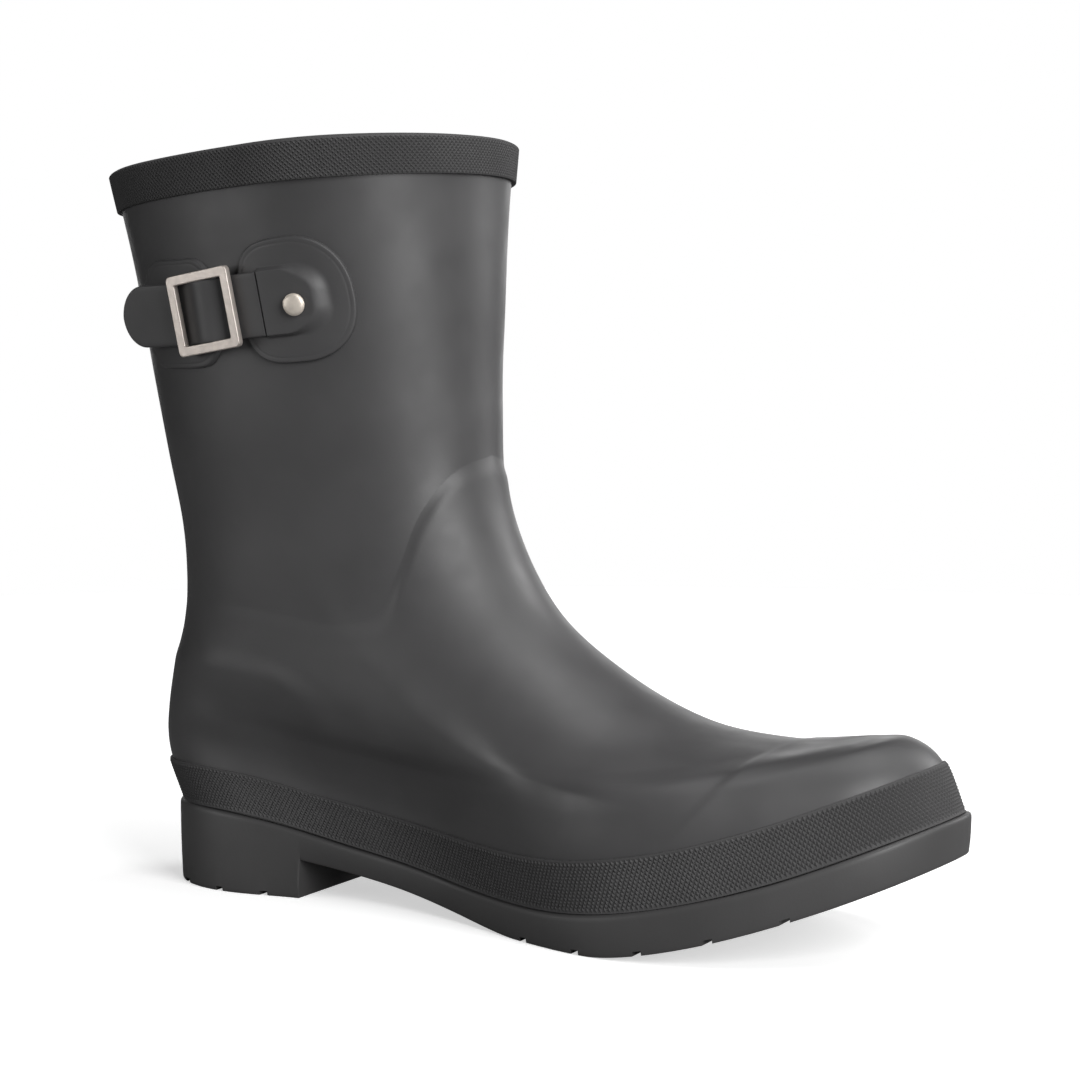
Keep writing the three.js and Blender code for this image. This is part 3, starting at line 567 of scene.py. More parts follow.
def tint(name, description, default):
    """Setting that holds a colour."""
    return FloatVectorProperty(
        name=name, description=description, default=default, size=3, min=0, max=1, subtype="COLOR"
    )


def share(name, description, default):
    """Setting that holds a share from 0 to 1."""
    return FloatProperty(name=name, description=description, default=default, min=0, max=1, subtype="FACTOR")


class BootSettings(bpy.types.PropertyGroup):
    """Sizes and finishes of the boot."""
    rubber_color: tint("Rubber", "Colour of the leg and foot rubber", (0.067, 0.066, 0.0675))
    sole_color: tint("Sole", "Colour of the sole rubber", (0.058, 0.057, 0.0575))
    trim_color: tint("Trim", "Colour of the knurled bands", (0.058, 0.057, 0.058))
    rubber_gloss: share("Rubber roughness", "Roughness of the leg and foot rubber", 0.45)
    trim_gloss: share("Trim roughness", "Roughness of the knurled bands", 0.75)
    sole_gloss: share("Sole roughness", "Roughness of the sole rubber", 0.5)
    buckle_color: tint("Buckle", "Colour of the buckle's metal", (0.72, 0.65, 0.595))
    rivet_color: tint("Rivet", "Colour of the rivet's metal", (0.95, 0.86, 0.76))
    lining_color: tint("Lining", "Colour of the knit lining", (0.03, 0.03, 0.032))
    knurl_step: length("Knurl step", "Half the distance between diamonds", 0.00083, 0.0004, 0.002)
    knurl_rise: length("Knurl rise", "Height of the diamonds", 0.00048, 0.0, 0.001)
    edge_run: length("Edge run", "Width of the soft step at the ankle edge", 0.004, 0.001, 0.01)
    patch_rise: length("Patch rise", "Thickness of the moulded patches", 0.0014, 0.0005, 0.002)
    backdrop: tint("Backdrop", "Colour of the floor and backdrop", (0.9, 0.9, 0.9))


def settings():
    """The boot's settings in this file."""
    return bpy.context.scene.rain_boot


def material_of(slot):
    """The material of a slot, made once."""
    name = slot + "_finish"
    found = bpy.data.materials.get(name)
    if found:
        return found
    s = settings()
    makers = {
        "upper_rubber": lambda: rubber(name, tuple(s.rubber_color), s.rubber_gloss),
        "patch_rubber": lambda: rubber(name, tuple(s.rubber_color), s.rubber_gloss + 0.03),
        "strap_rubber": lambda: rubber(name, scaled(tuple(s.rubber_color), 0.92), s.rubber_gloss + 0.03),
        "foxing_rubber": lambda: rubber(name, tuple(s.trim_color), s.trim_gloss),
        "binding_rubber": lambda: rubber(name, scaled(tuple(s.trim_color), 0.92), s.trim_gloss),
        "sole_rubber": lambda: rubber(name, tuple(s.sole_color), s.sole_gloss, 0.06, 0.00004),
        "lining_knit": lambda: knitted(name, tuple(s.lining_color)),
        "footbed_fabric": lambda: knitted(name, scaled(tuple(s.lining_color), 1.3)),
        "fibre_board": lambda: board(name, (0.30, 0.25, 0.18)),
        "spring_steel": lambda: metal(name, (0.5, 0.5, 0.52), 0.35, (0.02, 1, 1)),
        "brushed_nickel": lambda: metal(name, tuple(s.buckle_color), 0.42, (0.04, 1, 1)),
        "satin_nickel": lambda: metal(name, tuple(s.rivet_color), 0.5, (1, 0.2, 1)),
    }
    return makers[slot]()


def build(name, points, faces, body, slot, *nodes, **more):
    """Makes a piece and puts it on its body, in its slot and in the place of its model nodes."""
    thing = new_piece(name, points, faces, material_of(slot), **more)
    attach(thing, body)
    dress(thing, slot, *nodes)
    return thing


def build_rings(name, rings, body, slot, *nodes):
    """Makes a piece from rings of points that close to an end point at both ends."""
    build(name, ball_points(rings), ball_faces(*rings.shape[:2]), body, slot, *nodes)


def dress(thing, slot, *nodes):
    """Hides the model nodes that a piece stands for; its slot is not used."""
    if nodes:
        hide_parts(*nodes)


# ---- Shapes ----

# Points of each grid: turns round the form, and rows up it.
LEG_TURNS, LEG_HIDDEN_ROWS, LEG_ROWS, LEG_INNER_ROWS = 330, 24, 150, 60
FOOT_TURNS, FOOT_ROWS, FOOT_INNER_STEP = 420, 190, 6
LINING_TURNS, LINING_ROWS = 220, 110
SOLE_STATIONS, SOLE_ACROSS = 330, 24
BED_STATIONS, BED_ACROSS = 150, 28
PATCH_POINTS = 220

# Length round and height of the knurled faces.
FOXING_ROUND, FOXING_FACE = 705, 14
BINDING_ROUND, BINDING_FACE = 412, 11.6
BINDING_OUT, BINDING_IN = 1.6, -3.1

# Edges of the foot rubber, the toe and the heel, with a girth row's mean height on the foot.
ROW_HEIGHT = 17.0
ANKLE_EDGE = np.array([[0, 8.5], [0.4, 8.38], [0.7, 8.03], [0.95, 7.5], [1.2, 6.95], [1.45, 6.78],
                       [2.1, 6.8], [2.6, 6.5], [np.pi, 6.4]])
TOE_EDGE = np.array([[-5, 193], [0, 197], [12.7, 207], [23, 219], [34, 231], [40, 237], [60, 243]])
HEEL_SIDE = np.array([[-1, 2.2], [1.04, 2.06], [2.24, 2.0], [3.85, 1.88], [4.75, 1.83], [6, 1.8]])
HEEL_TOP = np.array([[1.6, 5.45], [2.0, 5.5], [2.32, 5.4], [2.74, 5.1], [3.15, 5.0]])


def foot_relief(phi, v, run):
    """Height of the foot rubber over the leg: a soft step at its upper edge, with a raised toe and heel.
    Every rise is a smooth step of the distance in from its edge, and the heel's edge has a ridge."""
    side_length, top_height = 42, 13
    back_step, front_step, swell_run = 0.11, 0.85, 34
    toe_rise, toe_run = 0.42, 5.5
    heel_rise, heel_run, heel_bend = 0.24, 9, 9.0
    ridge, ridge_in, ridge_run = 0.42, 2, 3.2
    turn, row = turn_of(phi), v * ROWS
    edge = (line_at(ANKLE_EDGE, turn) - row) * ROW_HEIGHT
    front = 1 - ease((turn - 1.0) / 0.5)
    step = mix(back_step, front_step, front) * ease((edge + 0.2) / (run * mix(1.6, 0.7, front)))
    swell = mix(OVERLAY - back_step, OVERLAY - front_step, front) * ease(edge / swell_run)
    bead = 0.06 * front * np.exp(-((edge - run) / (run * 0.8)) ** 2)
    place = form(phi, v)
    above = place[..., 2] - feather_height(place[..., 0])
    toe = toe_rise * ease((place[..., 0] - line_at(TOE_EDGE, above)) / toe_run + 0.5)
    side = (turn - line_at(HEEL_SIDE, row)) * side_length
    top = (line_at(HEEL_TOP, turn) - row) * top_height
    inside = round_corner(side, top, heel_bend)
    heel = heel_rise * ease(inside / heel_run + 0.5)
    arc = ridge * np.exp(-((inside - ridge_in) / ridge_run) ** 2) * mix(0.3, 1.0, ease((top - 4) / 16))
    fade = ease((row + 0.4) / 0.8)
    return np.maximum(0.03, step + swell + bead + (toe + heel + arc) * fade)


def round_corner(a, b, bend):
    """Depth inside two edges that meet in a round corner, from the depth inside each edge."""
    corner = bend - np.hypot(np.maximum(bend - a, 0), np.maximum(bend - b, 0))
    return np.where((a < bend) & (b < bend), corner, np.minimum(a, b))


def spread_rows(low, high, count):
    """Rows between two height shares that may change round the form."""
    t = np.linspace(0, 1, count)[:, None]
    return mix(low, high, t)


def binding_bottom(phi):
    """Height share of the lower edge of the binding."""
    rise = mix(GIRTHS[-1, 1] - GIRTHS[-2, 1], GIRTHS[-1, 3] - GIRTHS[-2, 3], (1 + np.cos(phi)) / 2)
    return 1 - BINDING_HEIGHT / (ROWS * rise)


def leg_shape():
    """Closed wall on the form: its outer face, and its inner face a shell's thickness inside."""
    phi = even_turns(0.7, LEG_TURNS)[None, :]
    ankle = line_at(ANKLE_EDGE, turn_of(phi)) / ROWS
    hidden = spread_rows(np.zeros_like(phi), ankle - 0.05, LEG_HIDDEN_ROWS)
    shown = spread_rows(ankle - 0.04, np.ones_like(phi), LEG_ROWS)
    v = np.concatenate([hidden, shown])
    inner = spread_rows(np.ones_like(phi), np.zeros_like(phi), LEG_INNER_ROWS)
    return np.concatenate([layer(phi, v, 0.0), layer(phi, inner, -SHELL)])


def foot_shape(run):
    """Closed wall over the foot: its relief outside, and a face just clear of the leg wall inside."""
    phi = even_turns(0.25, FOOT_TURNS)[None, :]
    beyond = 0.2
    ankle = line_at(ANKLE_EDGE, turn_of(phi)) / ROWS + beyond / ROW_HEIGHT / ROWS
    v = spread_rows(np.zeros_like(phi), ankle, FOOT_ROWS)
    outer = layer(phi, v, foot_relief(np.broadcast_to(phi, v.shape), v, run))
    return np.concatenate([outer, layer(phi, v[::-FOOT_INNER_STEP], 0.02)])


def band_shape(profile, phi):
    """Closed ring on the form: a profile of height share, distance out and rise, carried round it."""
    v, offset, rise = profile
    return layer(phi[None, :], v, offset, rise)


def even_count(count):
    """The even number nearest to a count."""
    return 2 * int(round(count / 2))


def tips(rows, columns, rise):
    """Height of every second point of a grid."""
    i, j = np.meshgrid(np.arange(rows), np.arange(columns), indexing="ij")
    return np.where((i + j) % 2 == 0, rise, 0.0)


def ring_rows(before, face, out, after):
    """Height and distance out of a ring's rows: a knurled face with a few plain rows before and after it."""
    full = np.ones((1, face.shape[1]))
    height = [h * full for h, _ in before] + [face] + [h * full for h, _ in after]
    offset = [o * full for _, o in before] + [out] + [o * full for _, o in after]
    return np.concatenate(height), np.concatenate(offset)


def foxing_shape(step, rise):
    """Knurled band round the foot: plain rounded edges and diamonds between them."""
    count = even_count(FOXING_ROUND / step)
    phi = even_turns(1 / ROWS / 2, count, FOXING)
    top = 1 / ROWS
    rows = even_count(FOXING_FACE / step)
    face = np.linspace(0.03, 0.965, rows)[:, None] * np.ones(count)
    out = FOXING - rise + tips(rows, count, rise)
    out[0] = out[-1] = FOXING - rise * 0.6
    before = [(0.0, FOXING - 0.35), (0.012, FOXING - 0.1)]
    after = [(0.99, FOXING - 0.35), (1.0, FOXING - 0.8), (1.0, OVERLAY + 0.1), (0.0, OVERLAY + 0.1)]
    part, offset = ring_rows(before, face, out, after)
    return band_shape((part * top, offset, np.zeros_like(offset)), phi)


def binding_shape(step, rise):
    """Knurled band round the top: diamonds outside, a rounded lip over the edge and a plain inner face."""
    outer, inner = BINDING_OUT, BINDING_IN
    count = even_count(BINDING_ROUND / step)
    phi = even_turns(0.97, count, outer)
    low = binding_bottom(phi)[None, :]
    rows = even_count(BINDING_FACE / step)
    face = np.linspace(0.35, BINDING_HEIGHT + 0.2, rows)[:, None] * np.ones(count)
    out = outer - rise + tips(rows, count, rise)
    lip = [(12.05, outer - 0.28), (12.4, outer - 0.8), (12.7, outer - 1.6), (12.78, outer - 2.6),
           (12.7, inner + 0.9), (12.4, inner + 0.3), (11.95, inner), (11.6, inner + 0.1), (11.6, 0.1)]
    before = [(0.0, 0.1), (0.0, outer - 0.3), (0.14, outer - 0.05)]
    height, offset = ring_rows(before, face, out, lip)
    v = low + (1 - low) * np.minimum(height / BINDING_HEIGHT, 1)
    return band_shape((v, offset, np.maximum(height - BINDING_HEIGHT, 0)), phi)


def lining_shape():
    """Closed knit wall inside the rubber, from the sole's seat to the top edge."""
    thick = 1.0
    phi = even_turns(0.7, LINING_TURNS)[None, :]
    v = spread_rows(np.zeros_like(phi), np.ones_like(phi), LINING_ROWS)
    outer = mix(-3.6, -2.1, ease((v - 0.46) / 0.14))
    return np.concatenate([layer(phi, v, outer), layer(phi, v[::-1], outer[::-1] - thick)])


def sole_bottom(x):
    """Height of the underside in front of the heel: its waist line and the spring of the toe."""
    rise = np.maximum(0, x - 190) / 80
    return np.maximum(0, line_at(UNDERSIDE, x)) + 22 * rise ** 1.5


def sole_side(x):
    """Distance of the sole's side off the form: proud of the band towards the toe."""
    return FOXING - 0.3 + 1.4 * ease((x - 120) / 120) + 1.1 * ease((60 - x) / 45)


def side_turns(sign, targets, offset, v=0.0):
    """Turns at which one side of an outline, moved off the form, passes the wanted x."""
    phi = np.linspace(0, np.pi, SIDE_SAMPLES) * sign
    base = form(phi, np.full_like(phi, v))
    x = level_at(phi, np.full_like(phi, v), offset(base[:, 0]))[:, 0]
    x = np.minimum.accumulate(x)
    return np.interp(-targets, -x, phi)


def slab(left, right, across, top, bottom):
    """Closed body from two sides of levels: grids of stations by levels, joined over the top and bottom.
    The joining lines run straight from side to side, and top and bottom lift them."""
    t = np.linspace(0, 1, across + 1)[1:-1][None, :, None]
    over = mix(right[:, -1:, :], left[:, -1:, :], t)
    under = mix(left[:, :1, :], right[:, :1, :], t)
    over[..., 2] += top(over, t[..., 0])
    under[..., 2] += bottom(under, t[..., 0])
    return np.concatenate([right, over, left[:, ::-1], under], 1)


def dense_ends(count):
    """Shares from 0 to 1 that stand closer together at both ends."""
    return (1 - np.cos(np.linspace(0, np.pi, count))) / 2


def closed_ends(sides):
    """Two sides whose first and last stations are brought together."""
    middle = (sides[0] + sides[1]) / 2
    for side in sides:
        side[0] = middle[0]
        side[-1] = middle[-1]
    return sides


def level_face(points, t):
    """No lift of a slab's joining lines."""
    return np.zeros(points.shape[:2])


GROOVES = [24, 41, 58] + list(range(165, 256, 21))
GROOVE_HALF = 1.4
GROOVE_EDGES = np.array([-GROOVE_HALF - 0.06, -GROOVE_HALF, GROOVE_HALF, GROOVE_HALF + 0.06])
TREAD = 1.5


def tread_at(x):
    """Depth cut up into the sole at x: a row of square grooves."""
    near = np.min(np.abs(x[..., None] - np.array(GROOVES)), -1)
    return np.where(near < GROOVE_HALF + 0.01, TREAD, 0.0)


def sole_shape():
    """Sole and heel: sides with a rounded upper edge, grooves across the tread and a step at the breast."""
    ends = level_at(np.array([np.pi, 0.0]), np.zeros(2), sole_side(np.array([15.0, 285.0])) - 0.9)[:, 0]
    x = mix(ends[0], ends[1], dense_ends(SOLE_STATIONS))
    marks = np.array(GROOVES, float)[:, None] + GROOVE_EDGES
    x = np.sort(np.concatenate([x, marks.ravel(), [BREAST - 1.2, BREAST]]))
    x = x[np.concatenate([[True], np.diff(x) > 0.02])]
    base_z = np.where(x < BREAST - 0.6, 0, sole_bottom(x))
    # Level: share of the side's height, inset of the face, rise from the bottom or fall from the top.
    levels = [
        (0, 1.1, 0.0), (0, 0.75, 0.15), (0, 0.6, 0.5), (0, 0.5, 1.52), (0.3, 0.25, 0.0), (0.55, 0.08, 0.0),
        (1, 0.0, -2.2), (1, 0.04, -1.5), (1, 0.16, -1.0), (1, 0.4, -0.55), (1, 0.8, -0.2), (1, 1.3, 0.0),
        (1, 2.2, 0.1),
    ]
    sides = []
    for sign in (1, -1):
        phi = side_turns(sign, x, lambda base: sole_side(base) - 0.9)
        column = []
        for part, inset, lift in levels:
            base = form(phi, np.zeros_like(phi))
            point = level_at(phi, np.zeros_like(phi), sole_side(base[:, 0]) - inset)
            top = feather_height(point[:, 0]) - CLEAR
            groove = tread_at(x) * (part == 0)
            point[:, 2] = mix(base_z, top, part) + np.where(part == 0, np.maximum(groove, lift), lift)
            column.append(point)
        sides.append(np.stack(column, 1))
    return slab(*closed_ends(sides), SOLE_ACROSS, level_face, level_face)


def footbed_shape():
    """Foam footbed: rounded rim, hollow along its middle and cupped at the heel."""
    bottom, top = 2.1, 6.1
    x_ends = level_at(np.array([np.pi, 0.0]), np.full(2, 0.02), -4.9 - 0.3)[:, 0]
    x = mix(x_ends[0], x_ends[1], dense_ends(BED_STATIONS))
    levels = [(bottom, 0.6), (bottom + 0.3, 0.15), (bottom + 1.2, 0.0), (top - 1.2, 0.0), (top - 0.5, 0.2),
              (top - 0.15, 0.7), (top, 1.5)]
    sides = []
    for sign in (1, -1):
        phi = side_turns(sign, x, lambda base: np.full(base.shape, -5.2), 0.02)
        column = []
        for rise, inset in levels:
            point = level_at(phi, np.full_like(phi, 0.02 * rise / top), -4.95 - inset)
            point[:, 2] = feather_height(point[:, 0]) + rise
            column.append(point)
        sides.append(np.stack(column, 1))

    def top_dip(points, t):
        return -1.1 * np.sin(np.pi * t) * np.ones(points.shape[:2]) * ease((points[..., 0] - 15) / 25)

    return slab(*closed_ends(sides), BED_ACROSS, top_dip, level_face)


def patch_outline(turn, reach_x, reach_w, power_back, power_front):
    """Rounded outline: sine and cosine raised to a power below one, each times its half size."""
    c, s = np.cos(turn), np.sin(turn)
    power = mix(power_back, power_front, ease((c + 0.3) / 0.6))
    x, w = np.sign(c) * np.abs(c) ** power, np.sign(s) * np.abs(s) ** power
    return np.stack([reach_x * x, reach_w * w], -1)


def patch_shape(centre, outline, height):
    """Moulded patch on the leg: shrinking copies of its outline, raised by a height that falls at the rim."""
    size = np.linalg.norm(outline, axis=1).mean()
    deep = np.concatenate([np.linspace(0, 1.4, 9), np.linspace(1.6, 4, 16), np.linspace(4.5, size - 0.4, 26)])
    copies = [(1 - d / size, height(d)) for d in deep[::-1]] + [(s, 0.04) for s in (0.99, 0.7, 0.35, 0.03)]
    rings = []
    for s, rise in copies:
        rings.append(on_strap(centre + outline[:, 0] * s, outline[:, 1] * s, rise + np.zeros(len(outline))))
    return np.stack(rings)


def rim_height(rise):
    """Height of a patch at a depth in from its outline: a quarter round, and a shallow line inside it."""
    def height(depth):
        return 0.05 + (rise - 0.05) * rounded(depth / 0.8) - 0.06 * np.exp(-((depth - 1.9) / 0.35) ** 2)

    return height


def rounded_octagon(count):
    """Outline of the rear patch: an octagon whose corners are drawn round."""
    a, b, c = 20.0, 17.5, 8.0
    turn = np.linspace(0, 2 * np.pi, count, endpoint=False)
    x, w = np.cos(turn), np.sin(turn)
    power = 18.0
    flats = (np.abs(x) / a) ** power + (np.abs(w) / b) ** power
    flats = flats + ((np.abs(x) + np.abs(w)) / (a + b - c)) ** power
    reach = flats ** (-1 / power)
    return np.stack([x * reach, w * reach], -1)


def cover_shape(patch_top):
    """Moulded cover of the strap's root: a plateau with rounded edges that runs out into the patch."""
    x = np.concatenate([[SEAM_X], np.linspace(SEAM_X + 0.03, SEAM_X + 0.7, 8),
                        np.linspace(SEAM_X + 1.3, COVER_END + 1, 90)])
    side = np.concatenate([np.linspace(0, 8, 20, endpoint=False), np.linspace(8, 11.2, 22)])
    w = np.concatenate([-side[::-1], side[1:]])
    gx, gw = np.meshgrid(x, w, indexing="ij")
    soft = mix(1.4, 6.0, ease((gx - 84) / 10))
    bend = 8.0
    ahead, aside = COVER_END - 1.5 - gx, 10.3 - np.abs(gw)
    depth = round_corner(ahead, aside, bend)
    edge = ease((depth + 0.85) / soft)
    rise = 2.1
    start = rounded((gx - SEAM_X) / 0.6)
    top = patch_top + 0.012 + rise * edge * mix(0.25, 1.0, start)
    low = np.full_like(top, patch_top - 0.5)
    outer = on_strap(gx, gw, top)
    inner = on_strap(gx, gw, low)
    return np.concatenate([outer, inner[:, ::-1]], 1)


def in_window(x, reach):
    """Half a cosine wave over the middle of the buckle, 1 there and 0 beyond its reach."""
    u = np.abs(x - BUCKLE_X) / reach
    return np.where(u < 1, (1 + np.cos(np.pi * np.minimum(u, 1))) / 2, 0)


def strap_shape():
    """Strap and tail: a rounded strip carried along the leg, over the cross bar and out to its free end."""
    window = BUCKLE_LENGTH / 2 - BUCKLE_BAR
    bump = BAR_LIFT + 2 * BAR_RADIUS + CLEAR
    on_leg = np.linspace(STRAP_START, STRAP_END - 1.5, 150)
    run = np.arange(1, 91) / 90
    free = TAIL_LENGTH * (1 - (1 - run) ** 1.6)
    x = np.concatenate([on_leg, STRAP_END - 1.5 - free * (TAIL_LENGTH - 0.8) / TAIL_LENGTH])
    gone = np.maximum(0, STRAP_END - x)
    tip = TAIL_LENGTH + 0.7 - gone
    half = STRAP_HALF - 0.3 * np.minimum(1, 2 * in_window(x, BUCKLE_LENGTH / 2))
    round_end = STRAP_HALF ** 2 - (STRAP_HALF - np.maximum(tip, 0)) ** 2
    half = np.where(tip < STRAP_HALF, np.sqrt(np.maximum(0.0004, round_end)), half)
    soft_end = rounded((STRAP_START - x) / 0.5 + 0.35)
    r = 0.55
    corner = np.linspace(0, np.pi / 2, 6)
    flat = np.linspace(-1, 1, 17)[1:-1]
    # Section: corners of a rounded strip, as (side, inset across, height), then the points between them.
    turn_out = np.stack([r - r * np.sin(corner), r * (1 - np.cos(corner))], -1)
    section = [(1, a, STRAP_THICK - d) for a, d in turn_out[::-1]]
    section += [(f, r, STRAP_THICK) for f in flat[::-1]]
    section += [(-1, a, STRAP_THICK - d) for a, d in turn_out]
    section += [(-1, a, d) for a, d in turn_out[::-1]]
    section += [(f, r, 0.0) for f in flat]
    section += [(1, a, d) for a, d in turn_out]
    side, inset, height = np.array(section).T
    w = side[None, :] * np.maximum(half[:, None] - inset[None, :], 0.002)
    edge_lift = (1 - soft_end)[:, None] * (STRAP_THICK / 2 - height[None, :]) * 0.6
    offset = STRAP_SEAT + (bump * in_window(x, window))[:, None] + height[None, :] + edge_lift
    gx = x[:, None] + 0 * w
    bend = ease((STRAP_END + 1.5 - gx) / 3)
    near = np.maximum(gx, STRAP_END - 1.5)
    leg = on_strap(near, w, offset)
    place = tail_frame()
    tail = in_frame(place, np.stack([gx - STRAP_END, w, offset - STRAP_SEAT - STRAP_THICK], -1))
    return mix(leg, tail, bend[..., None])


def tail_frame():
    """Frame of the free end, at the outer edge of the strap's end."""
    _, up, normal, _ = seat(STRAP_END, 0.0)
    origin = on_strap(STRAP_END, 0.0, STRAP_SEAT + STRAP_THICK)
    level = np.array([np.cos(TAIL_ANGLE), -np.sin(TAIL_ANGLE), 0])
    forward = unit(level - up * (level @ up))
    out = unit(np.cross(forward, up))
    if out @ normal < 0:
        out = -out
    return forward, up, out, origin


def rounded_frame(half_x, half_y, radius, steps, straight):
    """Closed path round a rectangle with round corners, counter-clockwise."""
    points = []
    for cx, cy, start in ((1, 1, 0), (-1, 1, 0.5), (-1, -1, 1), (1, -1, 1.5)):
        turn = (start + np.linspace(0, 0.5, steps)) * np.pi
        arc = np.stack([cx * (half_x - radius) + radius * np.cos(turn),
                        cy * (half_y - radius) + radius * np.sin(turn)], -1)
        points.append(arc)
    path = []
    for k, arc in enumerate(points):
        following = points[(k + 1) % 4][0]
        t = np.linspace(0, 1, straight + 2)[1:-1, None]
        path += [arc, mix(arc[-1], following, t)]
    return np.concatenate(path)


def buckle_place():
    """Frame of the buckle on the strap, turned by its lean, and the height of its underside."""
    along, up, out, origin = seat(BUCKLE_X, 0.0)
    edge = on_strap(BUCKLE_X + BUCKLE_LENGTH / 2 - BUCKLE_BAR, 0.0, STRAP_SEAT + STRAP_THICK)
    bottom = (edge - origin) @ out + BAR_PLAY
    c, s = np.cos(BUCKLE_LEAN), np.sin(BUCKLE_LEAN)
    return (along * c + up * s, up * c - along * s, out, origin), bottom


def buckle_shape(place, bottom):
    """Buckle: a bevelled bar carried round a rectangle with small round corners."""
    depth = BUCKLE_THICK
    bevel = 0.32
    turn = np.linspace(0, np.pi / 2, 5)
    round_in, round_up = bevel * (1 - np.cos(turn)), depth - bevel + bevel * np.sin(turn)
    outer = list(zip(round_in, round_up))
    section = [(0, bevel), (0, depth - bevel - 0.05)] + outer + [(bevel + 0.05, depth)]
    section += [(BUCKLE_BAR - inset, height) for inset, height in section[::-1]]
    section += [(BUCKLE_BAR - bevel, 0), (bevel, 0)]
    rows = []
    for inset, height in section:
        radius = mix(1.7, 0.6, inset / BUCKLE_BAR)
        path = rounded_frame(BUCKLE_LENGTH / 2 - inset, BUCKLE_HEIGHT / 2 - inset, radius, 8, 10)
        rows.append(np.concatenate([path, np.full((len(path), 1), bottom + height)], 1))
    return in_frame(place, np.stack(rows))


def bar_shape(place, bottom):
    """Cross bar: a round rod bent up at both ends into the frame."""
    centre = STRAP_SEAT + BAR_LIFT + BAR_RADIUS
    end = (BUCKLE_HEIGHT - BUCKLE_BAR) / 2
    top = bottom + BUCKLE_THICK / 2
    bend = 1.1
    turn = np.linspace(0, np.pi / 2, 8)
    half = np.stack([end - bend + bend * np.sin(turn), centre + bend - bend * np.cos(turn)], -1)
    side = np.concatenate([half, [[end, top]]])
    path = np.concatenate([(side * [-1, 1])[::-1], np.linspace(side[0] * [-1, 1], side[0], 20)[1:-1], side])
    along = unit(np.gradient(path, axis=0))
    across = np.stack([-along[:, 1], along[:, 0]], -1)
    angle = np.linspace(0, 2 * np.pi, 24, endpoint=False)
    rings = []
    for point, direction in zip(path, across):
        x = BAR_RADIUS * np.cos(angle)
        flat = point + BAR_RADIUS * np.sin(angle)[:, None] * direction
        rings.append(np.concatenate([x[:, None], flat], 1))
    return in_frame(place, np.stack(rings))


def rivet_shape():
    """Rivet: a shallow dome turned round its axis, with a straight rim and a neck into the cover."""
    along, up, out, origin = seat(RIVET_X, -RIVET_DROP)
    seat_top = STRAP_SEAT + 2.4 + CLEAR
    turn = np.linspace(0, np.pi / 2, 18)
    dome_r = 3.3 * np.cos(turn)
    dome_z = seat_top + 0.75 + 0.95 * np.sin(turn)
    radius = np.concatenate([[1.4, 1.5, 3.0, 3.42, 3.52, 3.52, 3.46], dome_r[:-1]])
    height = np.concatenate([[-1.6, -0.1, -0.1, 0.0, 0.15, 0.45, 0.66], dome_z[:-1] - seat_top]) + seat_top
    radius = np.append(radius, 0.02)
    height = np.append(height, dome_z[-1])
    angle = np.linspace(0, 2 * np.pi, 72, endpoint=False)
    rings = np.stack([
        radius[:, None] * np.cos(angle), radius[:, None] * np.sin(angle), height[:, None] + 0 * angle,
    ], -1)
    return in_frame((along, up, out, origin), rings)


# ---- Operators ----

# Largest angle of smooth shading over the diamonds, in degrees, and the gap at which points are one.
KNURL_SHARP = 9
MERGE = 0.001


class PieceMaker:
    """What the operators share."""
    bl_options = {"REGISTER", "UNDO"}


class BOOT_OT_upper(PieceMaker, bpy.types.Operator):
    """Make the leg rubber and the thicker foot rubber over it"""
    bl_idname = "boot.upper"
    bl_label = "Leg and foot rubber"

    def execute(self, context):
        leg = leg_shape()
        build("leg_rubber", leg, [quads(*leg.shape[:2])], "boot", "upper_rubber", "upper_shell")
        foot = foot_shape(settings().edge_run / MM)
        build("foot_rubber", foot, [quads(*foot.shape[:2])], "boot", "upper_rubber", "foot_overlay")
        return {"FINISHED"}


class BOOT_OT_bands(PieceMaker, bpy.types.Operator):
    """Make the knurled bands round the foot and round the top"""
    bl_idname = "boot.bands"
    bl_label = "Knurled bands"

    def execute(self, context):
        step, rise = settings().knurl_step / MM, settings().knurl_rise / MM
        band = foxing_shape(step, rise)
        faces = [knurl_faces(*band.shape[:2])]
        build("foot_band", band, faces, "boot", "foxing_rubber", "foxing_band", sharp=KNURL_SHARP)
        top = binding_shape(step, rise)
        faces = [knurl_faces(*top.shape[:2])]
        build("top_band", top, faces, "boot", "binding_rubber", "top_binding", sharp=KNURL_SHARP)
        return {"FINISHED"}


class BOOT_OT_sole(PieceMaker, bpy.types.Operator):
    """Make the sole with its heel and tread"""
    bl_idname = "boot.sole"
    bl_label = "Sole"

    def execute(self, context):
        sole = sole_shape()
        faces = [quads(*sole.shape[:2], wrap_rows=False)]
        build("sole_body", sole, faces, "boot", "sole_rubber", "outsole", merge=MERGE)
        return {"FINISHED"}


class BOOT_OT_inside(PieceMaker, bpy.types.Operator):
    """Make the knit lining and the padded footbed"""
    bl_idname = "boot.inside"
    bl_label = "Lining and footbed"

    def execute(self, context):
        knit = lining_shape()
        rows, columns = knit.shape[:2]
        uv = grid_uv(np.linspace(0, 0.4, columns + 1), np.linspace(0, 0.5, rows + 1), rows, columns)
        build("knit_lining", knit, [quads(rows, columns)], "boot", "lining_knit", "lining", uv=uv)
        bed = footbed_shape()
        rows, columns = bed.shape[:2]
        uv = np.stack([bed[..., 0], bed[..., 1]], -1).reshape(-1, 2) * MM
        faces = quads(rows, columns, wrap_rows=False)
        uv = uv[faces.ravel()]
        thing = build("foam_footbed", bed, [faces], "boot", "footbed_fabric", "footbed", uv=uv, merge=MERGE)
        return {"FINISHED"}


